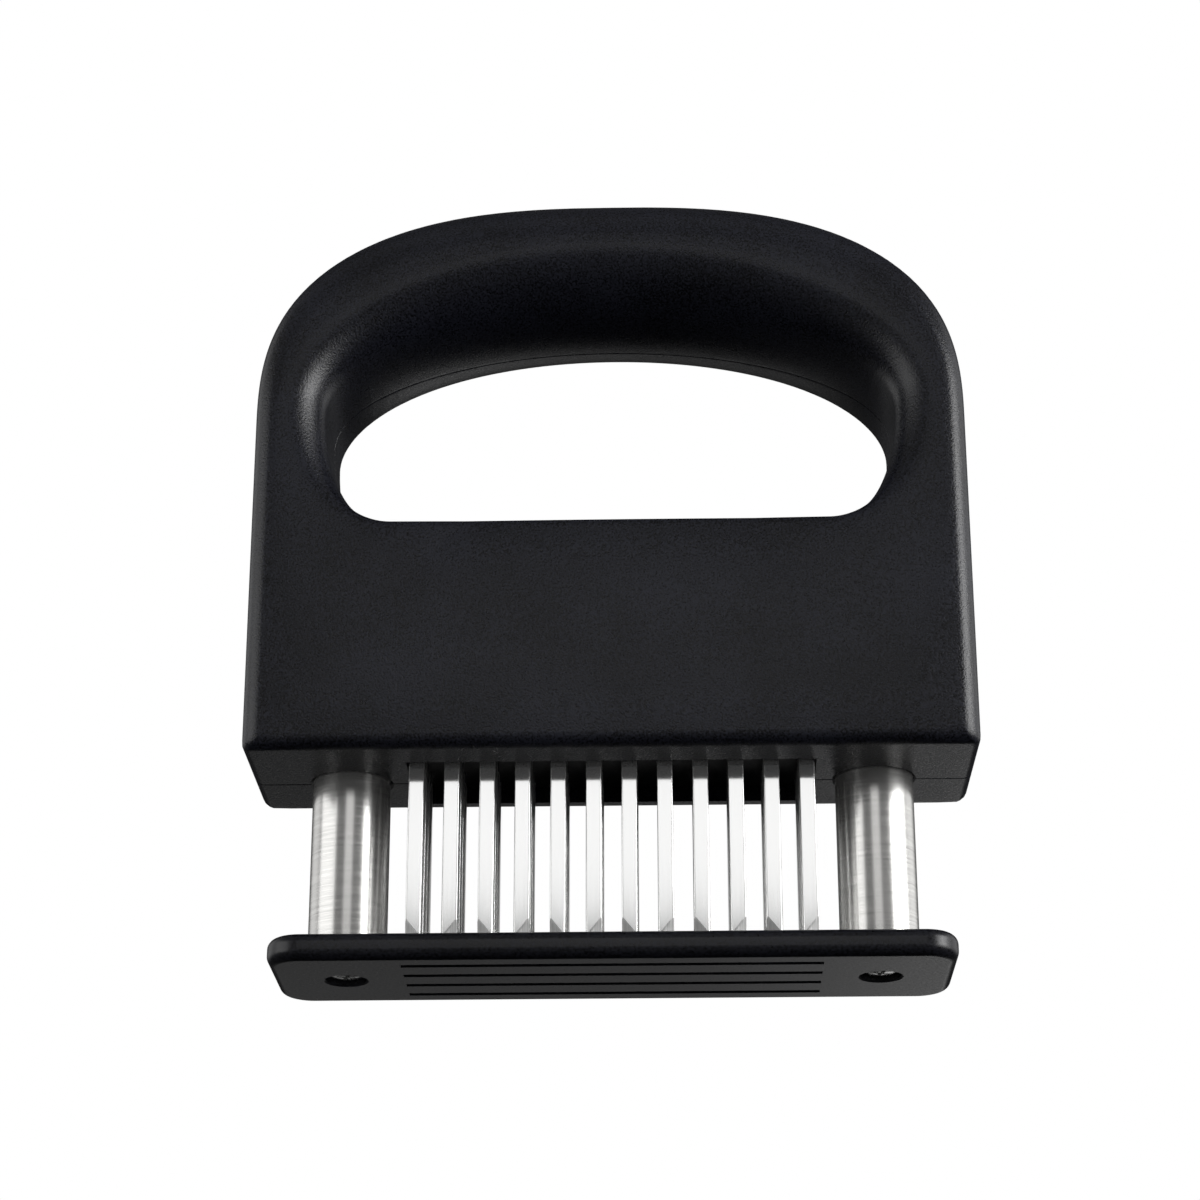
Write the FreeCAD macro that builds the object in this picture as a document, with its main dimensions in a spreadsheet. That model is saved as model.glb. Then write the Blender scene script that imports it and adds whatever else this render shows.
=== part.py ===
import FreeCAD, Part
import Sketcher
import math
import os
import re

# Blade meat tenderizer. +Z is up, X runs along the handle, Y runs from the front (-) to the
# rear (+). The origin is the centre of the base plate's underside, on the plane of the posts.
# Lengths are in millimetres.
#
# Two bodies: the foot (base plate on two tube posts) and the head (handle shells, blade carrier
# and blades). The head slides down the posts against two springs inside the tubes.

ROWS = 4            # rows of blades from front to rear
PAIRS = 6           # twin blades in a row
SIDES = (("left", -1), ("right", 1))
SECTION_STEPS = 16  # steps from the front face to the rear face in the head's outer lofts
ROOM_STEPS = 10     # the same in the lofts of the room inside, which are ruled
CURVE_STEPS = 10    # steps along a quarter turn of an outline
TOLERANCE = 1e-4    # below this, two heights or depths count as one

doc = FreeCAD.newDocument("blade_meat_tenderizer")
X_AXIS = FreeCAD.Vector(1, 0, 0)
Y_AXIS = FreeCAD.Vector(0, 1, 0)
Z_AXIS = FreeCAD.Vector(0, 0, 1)


# ---------------------------------------------------------------- driving dimensions

SIZES = (
    # blades
    ("blade_pitch", 5.25, "spacing of the blades along a row"),
    ("row_pitch", 5.25, "spacing of the rows"),
    ("blade_width", 2.3, "width of one blade leg"),
    ("blade_thickness", 0.9, "thickness of the blade strip"),
    ("bridge_height", 3.0, "height of the bridge that joins two legs"),
    ("tip_depth", 2.2, "how far the tips reach into the base plate at rest"),
    ("tip_rise", 2.8, "rise of the slanted cut at a tip"),
    ("grind_length", 1.65, "length of the ground facet on the face"),
    ("tip_edge", 0.12, "thickness left at the cutting edge"),
    ("blade_fit", 0.08, "clearance round a blade in the carrier"),
    # base plate
    ("plate_thickness", 4.0, "thickness of the base plate"),
    ("plate_end", 10.8, "from a post's axis to the end of the plate"),
    ("plate_margin", 4.2, "from the outer row of blades to the plate's long edge"),
    ("plate_corner", 5.0, "corner radius of the plate seen from below"),
    ("plate_rounding", 1.5, "rounding of the plate's edges"),
    ("slot_side", 0.25, "clearance on each face of a blade in its slot"),
    ("slot_end", 0.55, "clearance at the ends of a slot"),
    # posts
    ("post_offset", 9.2, "from the end of the blade rows to a post's axis"),
    ("post_diameter", 11.7, "outside diameter of a post tube"),
    ("post_wall", 0.8, "wall of a post tube"),
    ("post_seat", 1.0, "depth of the seat that holds a post in the plate"),
    ("seat_fit", 0.05, "clearance of pieces that are pressed or seated together"),
    ("slide_fit", 0.08, "radial clearance of a post in the head"),
    ("collar_height", 4.0, "height of the stop collar"),
    ("collar_wall", 1.0, "how far the collar stands out from the post"),
    ("stop_gap", 0.1, "gap under the collar at rest"),
    ("post_above", 1.4, "length of post above its collar"),
    ("plug_length", 10.0, "length of the threaded plug in a post's lower end"),
    # base screws
    ("screw_diameter", 3.0, "thread diameter of a base screw"),
    ("screw_length", 9.0, "shank length of a base screw"),
    ("screw_head", 5.5, "head diameter of a base screw"),
    ("screw_head_height", 1.5, "head height of a base screw"),
    ("screw_rounding", 0.6, "rounding of a screw head"),
    ("screw_recess", 6.1, "diameter of the recess for a screw head"),
    ("screw_sink", 0.5, "depth of a screw head below the plate's underside"),
    ("cross_length", 3.0, "length of the cross recess in a screw head"),
    ("cross_width", 0.7, "width of the cross recess"),
    ("cross_depth", 0.8, "depth of the cross recess"),
    # springs
    ("spring_wire", 1.0, "wire diameter of a return spring"),
    ("spring_diameter", 9.4, "outside diameter of a return spring"),
    ("spring_turns", 14.0, "turns of a return spring"),
    # movement
    ("travel", 25.0, "stroke of the head"),
    ("end_gap", 0.3, "gap above a post at full stroke"),
    ("closing_gap", 1.5, "gap between plate and head at full stroke"),
    # head
    ("head_end", 14.8, "from a post's axis to the side of the head"),
    ("head_wall", 2.5, "wall of the shells"),
    ("front_room", 5.3, "from the carrier to the front wall's inner face"),
    ("rear_room", 0.8, "from the carrier to the rear wall's inner face"),
    ("loop_height", 36.0, "height of the finger loop at the middle"),
    ("loop_side", 19.7, "height of the loop's widest place above its floor"),
    ("loop_corner", 10.8, "width of the loop's lower corner"),
    ("arm_width", 10.4, "width of an arm of the handle beside the loop"),
    ("grip_height", 22.2, "height of the grip at the middle"),
    ("grip_flat", 1.0, "half height of the flat strip along the grip's front"),
    ("shoulder", 16.7, "height of the shoulders' start above the loop's floor"),
    ("shoulder_power", 2.7, "squareness of the shoulders, 2 is an ellipse"),
    ("arm_roll", 6.0, "radius of the roll from the face into the loop beside an arm"),
    ("floor_rounding", 1.2, "rounding of the loop's floor at the faces"),
    ("side_rounding", 3.4, "rounding of the head's upright edges"),
    ("bottom_rounding", 2.0, "rounding of the head's lower edges"),
    ("corner_rounding", 1.4, "rounding of the head's lower corners seen from the front"),
    # inside the head
    ("guide_room", 0.25, "radial room round a collar in its guide"),
    ("guide_wall", 1.2, "wall of a collar guide"),
    ("pilot_diameter", 7.0, "pilot that centres a spring's upper end"),
    ("pilot_height", 3.0, "height of that pilot"),
    ("rib", 1.6, "thickness of the ribs"),
    ("root_depth", 0.5, "how far ribs, guides and bosses run into the walls that they grow from"),
    ("rib_place", 8.0, "from the middle to a hold-down rib"),
    ("boss_diameter", 5.5, "diameter of the bosses that join the shells"),
    ("pin_diameter", 2.5, "diameter of the moulded joining pins"),
    ("pin_length", 3.0, "length of the joining pins"),
    ("lower_boss_place", 14.0, "from the middle to a lower joining boss"),
    ("grip_boss_place", 24.0, "from the middle to a joining boss in the grip"),
    # blade carrier
    ("carrier_margin", 1.9, "from the outer row to the carrier's long side"),
    ("carrier_height", 12.0, "height of the blade carrier"),
    ("carrier_gap", 0.1, "clearance between carrier and guides"),
    ("clamp_thickness", 2.5, "thickness of the clamp plate"),
    ("rim", 0.5, "width of the rim that the carrier stands on"),
    ("clamp_screw_diameter", 2.2, "thread diameter of a clamp screw"),
    ("clamp_screw_head", 4.2, "head diameter of a clamp screw"),
    ("clamp_screw_head_height", 1.4, "head height of a clamp screw"),
    ("clamp_screw_length", 8.0, "shank length of a clamp screw"),
    # tools
    ("cut_margin", 1.0, "how far a cutting shape runs past what it cuts"),
)

sheet = doc.addObject("Spreadsheet::Sheet", "Sizes")
for line, (alias, number, note) in enumerate(SIZES, 1):
    sheet.set(f"A{line}", note)
    sheet.set(f"B{line}", str(number))
    sheet.setAlias(f"B{line}", alias)
doc.recompute()

# ---------------------------------------------------------------- places worked out from them

PLACES = (
    ("field_x", f"({2 * PAIRS - 1} * blade_pitch + blade_width) / 2", "half length of the blade rows"),
    ("field_y", f"({ROWS - 1} * row_pitch + blade_thickness) / 2", "half depth of the blade rows"),
    ("post_x", "field_x + post_offset", "X of a post's axis"),
    ("post_radius", "post_diameter / 2", "outside radius of a post"),
    ("bore_radius", "post_radius - post_wall", "inside radius of a post"),
    ("collar_radius", "post_radius + collar_wall", "outside radius of a collar"),
    ("guide_bore", "collar_radius + guide_room", "inside radius of a collar guide"),
    ("guide_radius", "guide_bore + guide_wall", "outside radius of a collar guide"),
    ("plate_x", "post_x + plate_end", "half length of the plate"),
    ("plate_y", "field_y + plate_margin", "half depth of the plate"),
    ("post_foot", "plate_thickness - post_seat", "Z of a post's lower end"),
    ("recess_top", "screw_sink + screw_head_height", "Z of a screw recess's end"),
    ("plug_top", "post_foot + plug_length", "Z of a plug's upper end"),
    ("slot_width", "blade_thickness + 2 * slot_side", "width of a slot"),
    ("head_bottom", "plate_thickness + travel + closing_gap", "Z of the head's underside"),
    ("head_floor", "head_bottom + head_wall", "Z of the inside floor"),
    ("collar_foot", "head_floor + stop_gap", "Z of a collar's lower face"),
    ("post_top", "collar_foot + collar_height + post_above", "Z of a post's upper end"),
    ("head_ceiling", "post_top + travel + end_gap", "Z of the ceiling under the loop"),
    ("loop_floor", "head_ceiling + head_wall", "Z of the finger loop's floor"),
    ("loop_top", "loop_floor + loop_height", "Z of the loop's top at the middle"),
    ("loop_wide", "loop_floor + loop_side", "Z where the loop is widest"),
    ("head_top", "loop_top + grip_height", "Z of the top of the handle"),
    ("shoulder_z", "loop_floor + shoulder", "Z where the shoulders start"),
    ("grip_z", "loop_top + grip_height / 2", "Z of the grip's middle"),
    ("head_x", "post_x + head_end", "half width of the head"),
    ("loop_x", "head_x - arm_width", "half width of the loop"),
    ("loop_floor_x", "loop_x - loop_corner", "half length of the loop's flat floor"),
    ("carrier_x", "post_x - guide_radius - carrier_gap", "half length of the carrier"),
    ("carrier_y", "field_y + carrier_margin", "half depth of the carrier"),
    ("carrier_top", "head_floor + carrier_height", "Z of the carrier's upper face"),
    ("clamp_top", "carrier_top + clamp_thickness", "Z of the clamp plate's upper face"),
    ("inner_front", "-(carrier_y + front_room)", "Y of the front wall's inner face"),
    ("inner_rear", "carrier_y + rear_room", "Y of the rear wall's inner face"),
    ("head_front", "inner_front - head_wall", "Y of the front face"),
    ("head_rear", "inner_rear + head_wall", "Y of the rear face"),
    ("blade_tip", "plate_thickness - tip_depth", "Z of the blade tips at rest"),
    ("leg_inner", "(blade_pitch - blade_width) / 2", "X of a leg's inner edge"),
    ("leg_outer", "(blade_pitch + blade_width) / 2", "X of a leg's outer edge"),
    ("bridge_z", "carrier_top - bridge_height", "Z of the bridge's lower edge"),
    ("lower_boss_z", "(clamp_top + head_ceiling) / 2", "Z of the lower joining bosses"),
    ("clamp_screw_x", "field_x - 3 * blade_pitch / 2 - blade_width / 2", "X of the clamp screws"),
    ("clamp_screw_y", "row_pitch", "Y of the clamp screws"),
)

ALIASES = {alias for alias, number, note in SIZES}
PLACE_NAMES = {name for name, formula, note in PLACES}


def bound(formula):
    """The formula with each name led by the object that holds it."""

    def lead(match):
        word = match.group(0)
        if word in ALIASES:
            return "Sizes." + word
        if word in PLACE_NAMES:
            return "Places." + word
        return word

    return re.sub(r"[a-z][a-z_]*", lead, formula)


places = doc.addObject("App::VarSet", "Places")
for name, formula, note in PLACES:
    places.addProperty("App::PropertyFloat", name, "Places", note)
    places.setExpression(name, bound(formula))
doc.recompute()


def size(alias):
    """A driving dimension, for shapes that are set by their points."""
    return float(sheet.get(alias))


def place(name):
    """A worked-out place, for shapes that are set by their points."""
    return float(getattr(places, name))


# ---------------------------------------------------------------- helpers

parts = {}


def bind(item, **formulas):
    for prop, formula in formulas.items():
        item.setExpression(prop, bound(str(formula)))
    return item


def move(item, x="0", y="0", z="0"):
    item.setExpression("Placement.Base.x", bound(x))
    item.setExpression("Placement.Base.y", bound(y))
    item.setExpression("Placement.Base.z", bound(z))
    return item


def box(name, low, high):
    """A box between two corners, each given as three formulas."""
    item = doc.addObject("Part::Box", name)
    spans = [f"({b}) - ({a})" for a, b in zip(low, high)]
    bind(item, Length=spans[0], Width=spans[1], Height=spans[2])
    return move(item, *low)


def cylinder(name, radius, x, y, low, high):
    """An upright cylinder between two heights."""
    item = doc.addObject("Part::Cylinder", name)
    bind(item, Radius=radius, Height=f"({high}) - ({low})")
    return move(item, x, y, low)


def cross_cylinder(name, radius, x, z, low, high):
    """A cylinder along Y between two depths."""
    item = doc.addObject("Part::Cylinder", name)
    bind(item, Radius=radius, Height=f"({high}) - ({low})")
    item.Placement = FreeCAD.Placement(FreeCAD.Vector(), FreeCAD.Rotation(X_AXIS, -90))
    return move(item, x, low, z)


def cut(name, base, tool):
    item = doc.addObject("Part::Cut", name)
    item.Base = base
    item.Tool = tool
    return item


def common(name, base, tool):
    item = doc.addObject("Part::Common", name)
    item.Base = base
    item.Tool = tool
    return item


def fuse(name, pieces):
    item = doc.addObject("Part::MultiFuse", name)
    item.Shapes = pieces
    item.Refine = True
    return item


def gather(name, pieces):
    """Separate solids kept together as one object."""
    item = doc.addObject("Part::Compound", name)
    item.Links = pieces
    return item


def round_edges(name, base, radius, chosen):
    """Fillets of one radius on the edges that the test picks."""
    doc.recompute()
    item = doc.addObject("Part::Fillet", name)
    item.Base = base
    edges = base.Shape.Edges
    item.Edges = [(n, radius, radius) for n, edge in enumerate(edges, 1) if chosen(edge)]
    return item


def at_height(edge, z):
    box_of_edge = edge.BoundBox
    return abs(box_of_edge.ZMin - z) < TOLERANCE and abs(box_of_edge.ZMax - z) < TOLERANCE


def keep(node, item):
    """Names an object as a finished sub-part."""
    item.Label = node
    parts[node] = item


def plane_of(body, role):
    return next(item for item in body.Origin.OriginFeatures if item.Role == role)


# ---------------------------------------------------------------- foot


def make_base_plate():
    """Slotted plate with a seat for each post above and a recess for each screw below."""
    body = doc.addObject("PartDesign::Body", "base_plate_body")
    sketch = body.newObject("Sketcher::SketchObject", "plate_outline")
    sketch.AttachmentSupport = [(plane_of(body, "XY_Plane"), "")]
    sketch.MapMode = "FlatFace"
    half_x, half_y, r = place("plate_x"), place("plate_y"), size("plate_corner")
    flat_x, flat_y = half_x - r, half_y - r
    turns = ((flat_x, flat_y, 0), (-flat_x, flat_y, 90), (-flat_x, -flat_y, 180), (flat_x, -flat_y, 270))
    for x, y, start in turns:
        circle = Part.Circle(FreeCAD.Vector(x, y, 0), Z_AXIS, r)
        first, last = math.radians(start), math.radians(start + 90)
        sketch.addGeometry(Part.ArcOfCircle(circle, first, last), False)
    ends = ((flat_x, half_y, -flat_x, half_y), (-half_x, flat_y, -half_x, -flat_y),
            (-flat_x, -half_y, flat_x, -half_y), (half_x, -flat_y, half_x, flat_y))
    for x1, y1, x2, y2 in ends:
        line = Part.LineSegment(FreeCAD.Vector(x1, y1, 0), FreeCAD.Vector(x2, y2, 0))
        sketch.addGeometry(line, False)
    for n in range(4):
        sketch.addConstraint(Sketcher.Constraint("Tangent", n, 2, n + 4, 1))
        sketch.addConstraint(Sketcher.Constraint("Tangent", n + 4, 2, (n + 1) % 4, 1))
    for n in range(1, 4):
        sketch.addConstraint(Sketcher.Constraint("Equal", 0, n))
    for n, way in ((4, "Horizontal"), (5, "Vertical"), (6, "Horizontal"), (7, "Vertical")):
        sketch.addConstraint(Sketcher.Constraint(way, n))
    sketch.addConstraint(Sketcher.Constraint("Symmetric", 0, 3, 2, 3, -1, 1))
    named = (("corner", Sketcher.Constraint("Radius", 0, r), "plate_corner"),
             ("across", Sketcher.Constraint("DistanceX", -1, 1, 0, 3, flat_x), "plate_x - plate_corner"),
             ("along", Sketcher.Constraint("DistanceY", -1, 1, 0, 3, flat_y), "plate_y - plate_corner"))
    for label, constraint, formula in named:
        number = sketch.addConstraint(constraint)
        sketch.renameConstraint(number, label)
        sketch.setExpression(f"Constraints.{label}", bound(formula))
    pad = body.newObject("PartDesign::Pad", "plate_pad")
    pad.Profile = (sketch, [""])
    pad.setExpression("Length", bound("plate_thickness"))
    doc.recompute()
    rim = [f"Edge{n}" for n, edge in enumerate(pad.Shape.Edges, 1)
           if at_height(edge, 0) or at_height(edge, size("plate_thickness"))]
    rounding = body.newObject("PartDesign::Fillet", "plate_rounding_fillet")
    rounding.Base = (pad, rim)
    rounding.setExpression("Radius", bound("plate_rounding"))
    body.Tip = rounding

    holes = []
    for row in range(ROWS):
        y = f"{row - (ROWS - 1) / 2} * row_pitch"
        low = ("-(field_x + slot_end)", f"{y} - slot_width / 2", "-cut_margin")
        high = ("field_x + slot_end", f"{y} + slot_width / 2", "plate_thickness + cut_margin")
        holes.append(box(f"slot_{row + 1}", low, high))
    for side, sign in SIDES:
        x = f"{sign} * post_x"
        seat = cylinder(f"post_seat_{side}", "post_radius + seat_fit", x, "0",
                        "post_foot", "plate_thickness + cut_margin")
        passage = cylinder(f"screw_passage_{side}", "screw_diameter / 2 + slide_fit", x, "0",
                           "-cut_margin", "plate_thickness")
        recess = cylinder(f"screw_recess_{side}", "screw_recess / 2", x, "0", "-cut_margin", "recess_top")
        holes += [seat, passage, recess]
    keep("base_plate", cut("base_plate", body, fuse("plate_holes", holes)))


def make_post(side, sign):
    """Stainless tube that stands in the plate's seat."""
    x = f"{sign} * post_x"
    outside = cylinder(f"post_outside_{side}", "post_radius", x, "0", "post_foot", "post_top")
    inside = cylinder(f"post_inside_{side}", "bore_radius", x, "0",
                      "post_foot - cut_margin", "post_top + cut_margin")
    keep(f"guide_post_{side}", cut(f"guide_post_{side}", outside, inside))


def make_collar(side, sign):
    """Ring pressed on the post's upper end. It stops the head at rest."""
    x = f"{sign} * post_x"
    top = "collar_foot + collar_height"
    ring = cylinder(f"collar_ring_{side}", "collar_radius", x, "0", "collar_foot", top)
    hole = cylinder(f"collar_hole_{side}", "post_radius + seat_fit", x, "0",
                    "collar_foot - cut_margin", f"{top} + cut_margin")
    keep(f"stop_collar_{side}", cut(f"stop_collar_{side}", ring, hole))


def make_plug(side, sign):
    """Threaded plug in the post's lower end. The base screw holds it and the spring stands on it."""
    x = f"{sign} * post_x"
    plug = cylinder(f"plug_round_{side}", "bore_radius - seat_fit", x, "0", "post_foot", "plug_top")
    hole = cylinder(f"plug_hole_{side}", "screw_diameter / 2 + seat_fit", x, "0",
                    "post_foot - cut_margin", "recess_top + screw_length + seat_fit")
    keep(f"post_plug_{side}", cut(f"post_plug_{side}", plug, hole))


def make_base_screw(side, sign):
    """Pan-head screw with a cross recess, driven in from below."""
    x = f"{sign} * post_x"
    head = cylinder(f"screw_head_{side}", "screw_head / 2", x, "0", "screw_sink", "recess_top")
    rounded = round_edges(f"screw_head_rounded_{side}", head, size("screw_rounding"),
                          lambda edge: at_height(edge, size("screw_sink")))
    shank = cylinder(f"screw_shank_{side}", "screw_diameter / 2", x, "0",
                     "recess_top - screw_rounding", "recess_top + screw_length")
    half_long, half_wide = "cross_length / 2", "cross_width / 2"
    low, high = "screw_sink - cut_margin", "screw_sink + cross_depth"
    bars = [box(f"cross_{n}_{side}", (f"{x} - {a}", f"-{b}", low), (f"{x} + {a}", b, high))
            for n, (a, b) in enumerate(((half_long, half_wide), (half_wide, half_long)), 1)]
    solid = fuse(f"screw_solid_{side}", [rounded, shank])
    keep(f"base_screw_{side}", cut(f"base_screw_{side}", solid, fuse(f"cross_{side}", bars)))


def make_spring(side, sign):
    """Return spring in the post, from the plug to the head's ceiling."""
    x = f"{sign} * post_x"
    middle = "(spring_diameter - spring_wire) / 2"
    length = "head_ceiling - plug_top - spring_wire - 2 * seat_fit"
    helix = doc.addObject("Part::Helix", f"spring_line_{side}")
    helix.SegmentLength = 1
    bind(helix, Radius=middle, Height=length, Pitch=f"({length}) / spring_turns")
    wire = doc.addObject("Part::Circle", f"spring_wire_{side}")
    bind(wire, Radius="spring_wire / 2")
    wire.Placement = FreeCAD.Placement(FreeCAD.Vector(), FreeCAD.Rotation(X_AXIS, 90))
    wire.setExpression("Placement.Base.x", bound(middle))
    doc.recompute()
    coil = doc.addObject("Part::Sweep", f"return_spring_{side}")
    coil.Sections = [wire]
    coil.Spine = (helix, [f"Edge{n}" for n in range(1, len(helix.Shape.Edges) + 1)])
    coil.Solid = True
    coil.Frenet = True
    move(coil, x, "0", "plug_top + seat_fit + spring_wire / 2")
    keep(f"return_spring_{side}", coil)


# ---------------------------------------------------------------- blades and their carrier


def make_twin_blade():
    """One strip bent on edge into two legs. Both tips are cut aslant and ground on the front face."""
    body = doc.addObject("PartDesign::Body", "twin_blade")
    sketch = body.newObject("Sketcher::SketchObject", "twin_blade_outline")
    sketch.AttachmentSupport = [(plane_of(body, "XZ_Plane"), "")]
    sketch.MapMode = "FlatFace"
    corners = (("leg_inner", "blade_tip"), ("leg_inner", "bridge_z"), ("leg_outer", "blade_tip + tip_rise"),
               ("leg_outer", "carrier_top"))
    inner, outer = place("leg_inner"), place("leg_outer")
    tip, bridge, top = place("blade_tip"), place("bridge_z"), place("carrier_top")
    heel = tip + size("tip_rise")
    points = [(-outer, heel), (-inner, tip), (-inner, bridge), (inner, bridge),
              (inner, tip), (outer, heel), (outer, top), (-outer, top)]
    count = len(points)
    for n in range(count):
        start, end = points[n], points[(n + 1) % count]
        line = Part.LineSegment(FreeCAD.Vector(*start, 0), FreeCAD.Vector(*end, 0))
        sketch.addGeometry(line, False)
    for n in range(count):
        sketch.addConstraint(Sketcher.Constraint("Coincident", n, 2, (n + 1) % count, 1))
    for n, way in ((1, "Vertical"), (2, "Horizontal"), (3, "Vertical"),
                   (5, "Vertical"), (6, "Horizontal"), (7, "Vertical")):
        sketch.addConstraint(Sketcher.Constraint(way, n))
    for left, right in ((0, 5), (1, 4)):
        sketch.addConstraint(Sketcher.Constraint("Symmetric", left, 1, right, 1, -2))
    # the right-hand leg's inner tip (4), inner top (3), outer heel (5) and outer top (6)
    for n, (across, height) in zip((4, 3, 5, 6), corners):
        if n in (4, 5):
            number = sketch.addConstraint(Sketcher.Constraint("DistanceX", -1, 1, n, 1, points[n][0]))
            sketch.renameConstraint(number, f"across_{n}")
            sketch.setExpression(f"Constraints.across_{n}", bound(across))
        number = sketch.addConstraint(Sketcher.Constraint("DistanceY", -1, 1, n, 1, points[n][1]))
        sketch.renameConstraint(number, f"height_{n}")
        sketch.setExpression(f"Constraints.height_{n}", bound(height))
    pad = body.newObject("PartDesign::Pad", "twin_blade_pad")
    pad.Profile = (sketch, [""])
    pad.Midplane = True
    pad.setExpression("Length", bound("blade_thickness"))
    doc.recompute()

    def front_tip(edge):
        ends = [vertex.Point for vertex in edge.Vertexes]
        slants = abs(ends[0].x - ends[1].x) > TOLERANCE and abs(ends[0].z - ends[1].z) > TOLERANCE
        return slants and ends[0].y < 0 and ends[1].y < 0

    grind = body.newObject("PartDesign::Chamfer", "twin_blade_grind")
    grind.Base = (pad, [f"Edge{n}" for n, edge in enumerate(pad.Shape.Edges, 1) if front_tip(edge)])
    grind.ChamferType = "Two distances"
    grind.setExpression("Size", bound("blade_thickness - tip_edge"))
    grind.setExpression("Size2", bound("grind_length"))
    body.Tip = grind
    return body


def make_blades():
    """Copies of the twin blade in rows."""
    master = make_twin_blade()
    for row in range(ROWS):
        for pair in range(PAIRS):
            node = f"twin_blade_row{row + 1}_pair{pair + 1}"
            copy = doc.addObject("PartDesign::Body", node)
            base = doc.addObject("PartDesign::FeatureBase", f"{node}_base")
            base.BaseFeature = master
            copy.Group = [base]
            copy.Tip = base
            move(copy, f"{pair - (PAIRS - 1) / 2} * 2 * blade_pitch", f"{row - (ROWS - 1) / 2} * row_pitch")
            keep(node, copy)


def clamp_screw_spots():
    """Centres of the clamp screws, between the rows and between twin blades."""
    return [(f"{x} * clamp_screw_x", f"{y} * clamp_screw_y") for x in (-1, 1) for y in (-1, 1)]


def make_carrier():
    """Block with a window for each leg and a groove for each bridge."""
    block = box("carrier_block", ("-carrier_x", "-carrier_y", "head_floor"),
                ("carrier_x", "carrier_y", "carrier_top"))
    half_y = "blade_thickness / 2 + blade_fit"
    half_x = "blade_width / 2 + blade_fit"
    spaces = []
    for row in range(ROWS):
        y = f"{row - (ROWS - 1) / 2} * row_pitch"
        spaces.append(box(f"bridge_groove_{row + 1}",
                          ("-field_x - blade_fit", f"{y} - ({half_y})", "bridge_z - blade_fit"),
                          ("field_x + blade_fit", f"{y} + {half_y}", "carrier_top + cut_margin")))
        for leg in range(2 * PAIRS):
            x = f"{leg - (2 * PAIRS - 1) / 2} * blade_pitch"
            spaces.append(box(f"leg_window_{row + 1}_{leg + 1}",
                              (f"{x} - ({half_x})", f"{y} - ({half_y})", "head_floor - cut_margin"),
                              (f"{x} + {half_x}", f"{y} + {half_y}", "bridge_z")))
    for n, (x, y) in enumerate(clamp_screw_spots(), 1):
        spaces.append(cylinder(f"carrier_thread_{n}", "clamp_screw_diameter / 2 + seat_fit", x, y,
                               "clamp_top - clamp_screw_length - seat_fit", "carrier_top + cut_margin"))
    keep("blade_carrier", cut("blade_carrier", block, fuse("carrier_spaces", spaces)))


def make_clamp():
    """Plate that holds the bridges down in the carrier, and its four screws."""
    plate = box("clamp_block", ("-carrier_x", "-carrier_y", "carrier_top"),
                ("carrier_x", "carrier_y", "clamp_top"))
    holes, screws = [], []
    for n, (x, y) in enumerate(clamp_screw_spots(), 1):
        holes.append(cylinder(f"clamp_hole_{n}", "clamp_screw_diameter / 2 + seat_fit", x, y,
                              "carrier_top - cut_margin", "clamp_top + cut_margin"))
        head = cylinder(f"clamp_screw_head_{n}", "clamp_screw_head / 2", x, y,
                        "clamp_top", "clamp_top + clamp_screw_head_height")
        shank = cylinder(f"clamp_screw_shank_{n}", "clamp_screw_diameter / 2", x, y,
                         "clamp_top - clamp_screw_length", "clamp_top")
        screws.append(fuse(f"clamp_screw_{n}", [head, shank]))
    keep("blade_clamp_plate", cut("blade_clamp_plate", plate, fuse("clamp_holes", holes)))
    keep("clamp_screws", gather("clamp_screws", screws))


# ---------------------------------------------------------------- head shells


def smooth_edge(points, start, end):
    """One smooth edge through points in the XZ plane, leaving and arriving along given ways."""
    curve = Part.BSplineCurve()
    curve.interpolate(Points=points, InitialTangent=start, FinalTangent=end)
    return curve.toShape()


def quarter_turn(first):
    """Angles of a quarter turn in even steps, in radians."""
    return [math.radians(first + 90 * n / CURVE_STEPS) for n in range(CURVE_STEPS + 1)]


def both_sides(right):
    """Closed outline from its right half, which runs from the bottom to the top of X = 0."""
    left = [edge.mirror(FreeCAD.Vector(), X_AXIS) for edge in reversed(right)]
    return Part.Wire(right + left)


def head_wire(y, half_x, low, high, corner):
    """Outline of the head at one depth: flat foot, round lower corners, squared-off arch."""
    def point(x, z):
        return FreeCAD.Vector(x, y, z)

    exponent = 2 / size("shoulder_power")
    shoulder = place("shoulder_z")
    rise = high - shoulder
    arch = [point(half_x * abs(math.cos(a)) ** exponent, shoulder + rise * math.sin(a) ** exponent)
            for a in quarter_turn(0)]
    arch[-1].x = 0
    turn = corner * (1 - math.sqrt(0.5))
    lower_corner = Part.Arc(point(half_x - corner, low), point(half_x - turn, low + turn),
                            point(half_x, low + corner))
    return both_sides([Part.LineSegment(point(0, low), point(half_x - corner, low)).toShape(),
                       lower_corner.toShape(),
                       Part.LineSegment(point(half_x, low + corner), point(half_x, shoulder)).toShape(),
                       smooth_edge(arch, Z_AXIS, -X_AXIS)])


def loop_wire(y, half_x, floor, top):
    """Outline of the finger loop at one depth: flat floor, round lower corners, elliptic arch."""
    def point(x, z):
        return FreeCAD.Vector(x, y, z)

    floor_x, wide = place("loop_floor_x"), place("loop_wide")
    reach, drop = half_x - floor_x, wide - floor
    lower_corner = [point(floor_x + reach * math.cos(a), wide + drop * math.sin(a))
                    for a in quarter_turn(-90)]
    arch = [point(half_x * math.cos(a), wide + (top - wide) * math.sin(a)) for a in quarter_turn(0)]
    arch[-1].x = 0
    return both_sides([Part.LineSegment(point(0, floor), point(floor_x, floor)).toShape(),
                       smooth_edge(lower_corner, X_AXIS, Z_AXIS),
                       smooth_edge(arch, Z_AXIS, -X_AXIS)])


def rounding(distance, radius):
    """How far an edge rounding has moved in at this distance from the face."""
    if distance >= radius:
        return 0.0
    return radius - math.sqrt(radius ** 2 - (radius - distance) ** 2)


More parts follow.
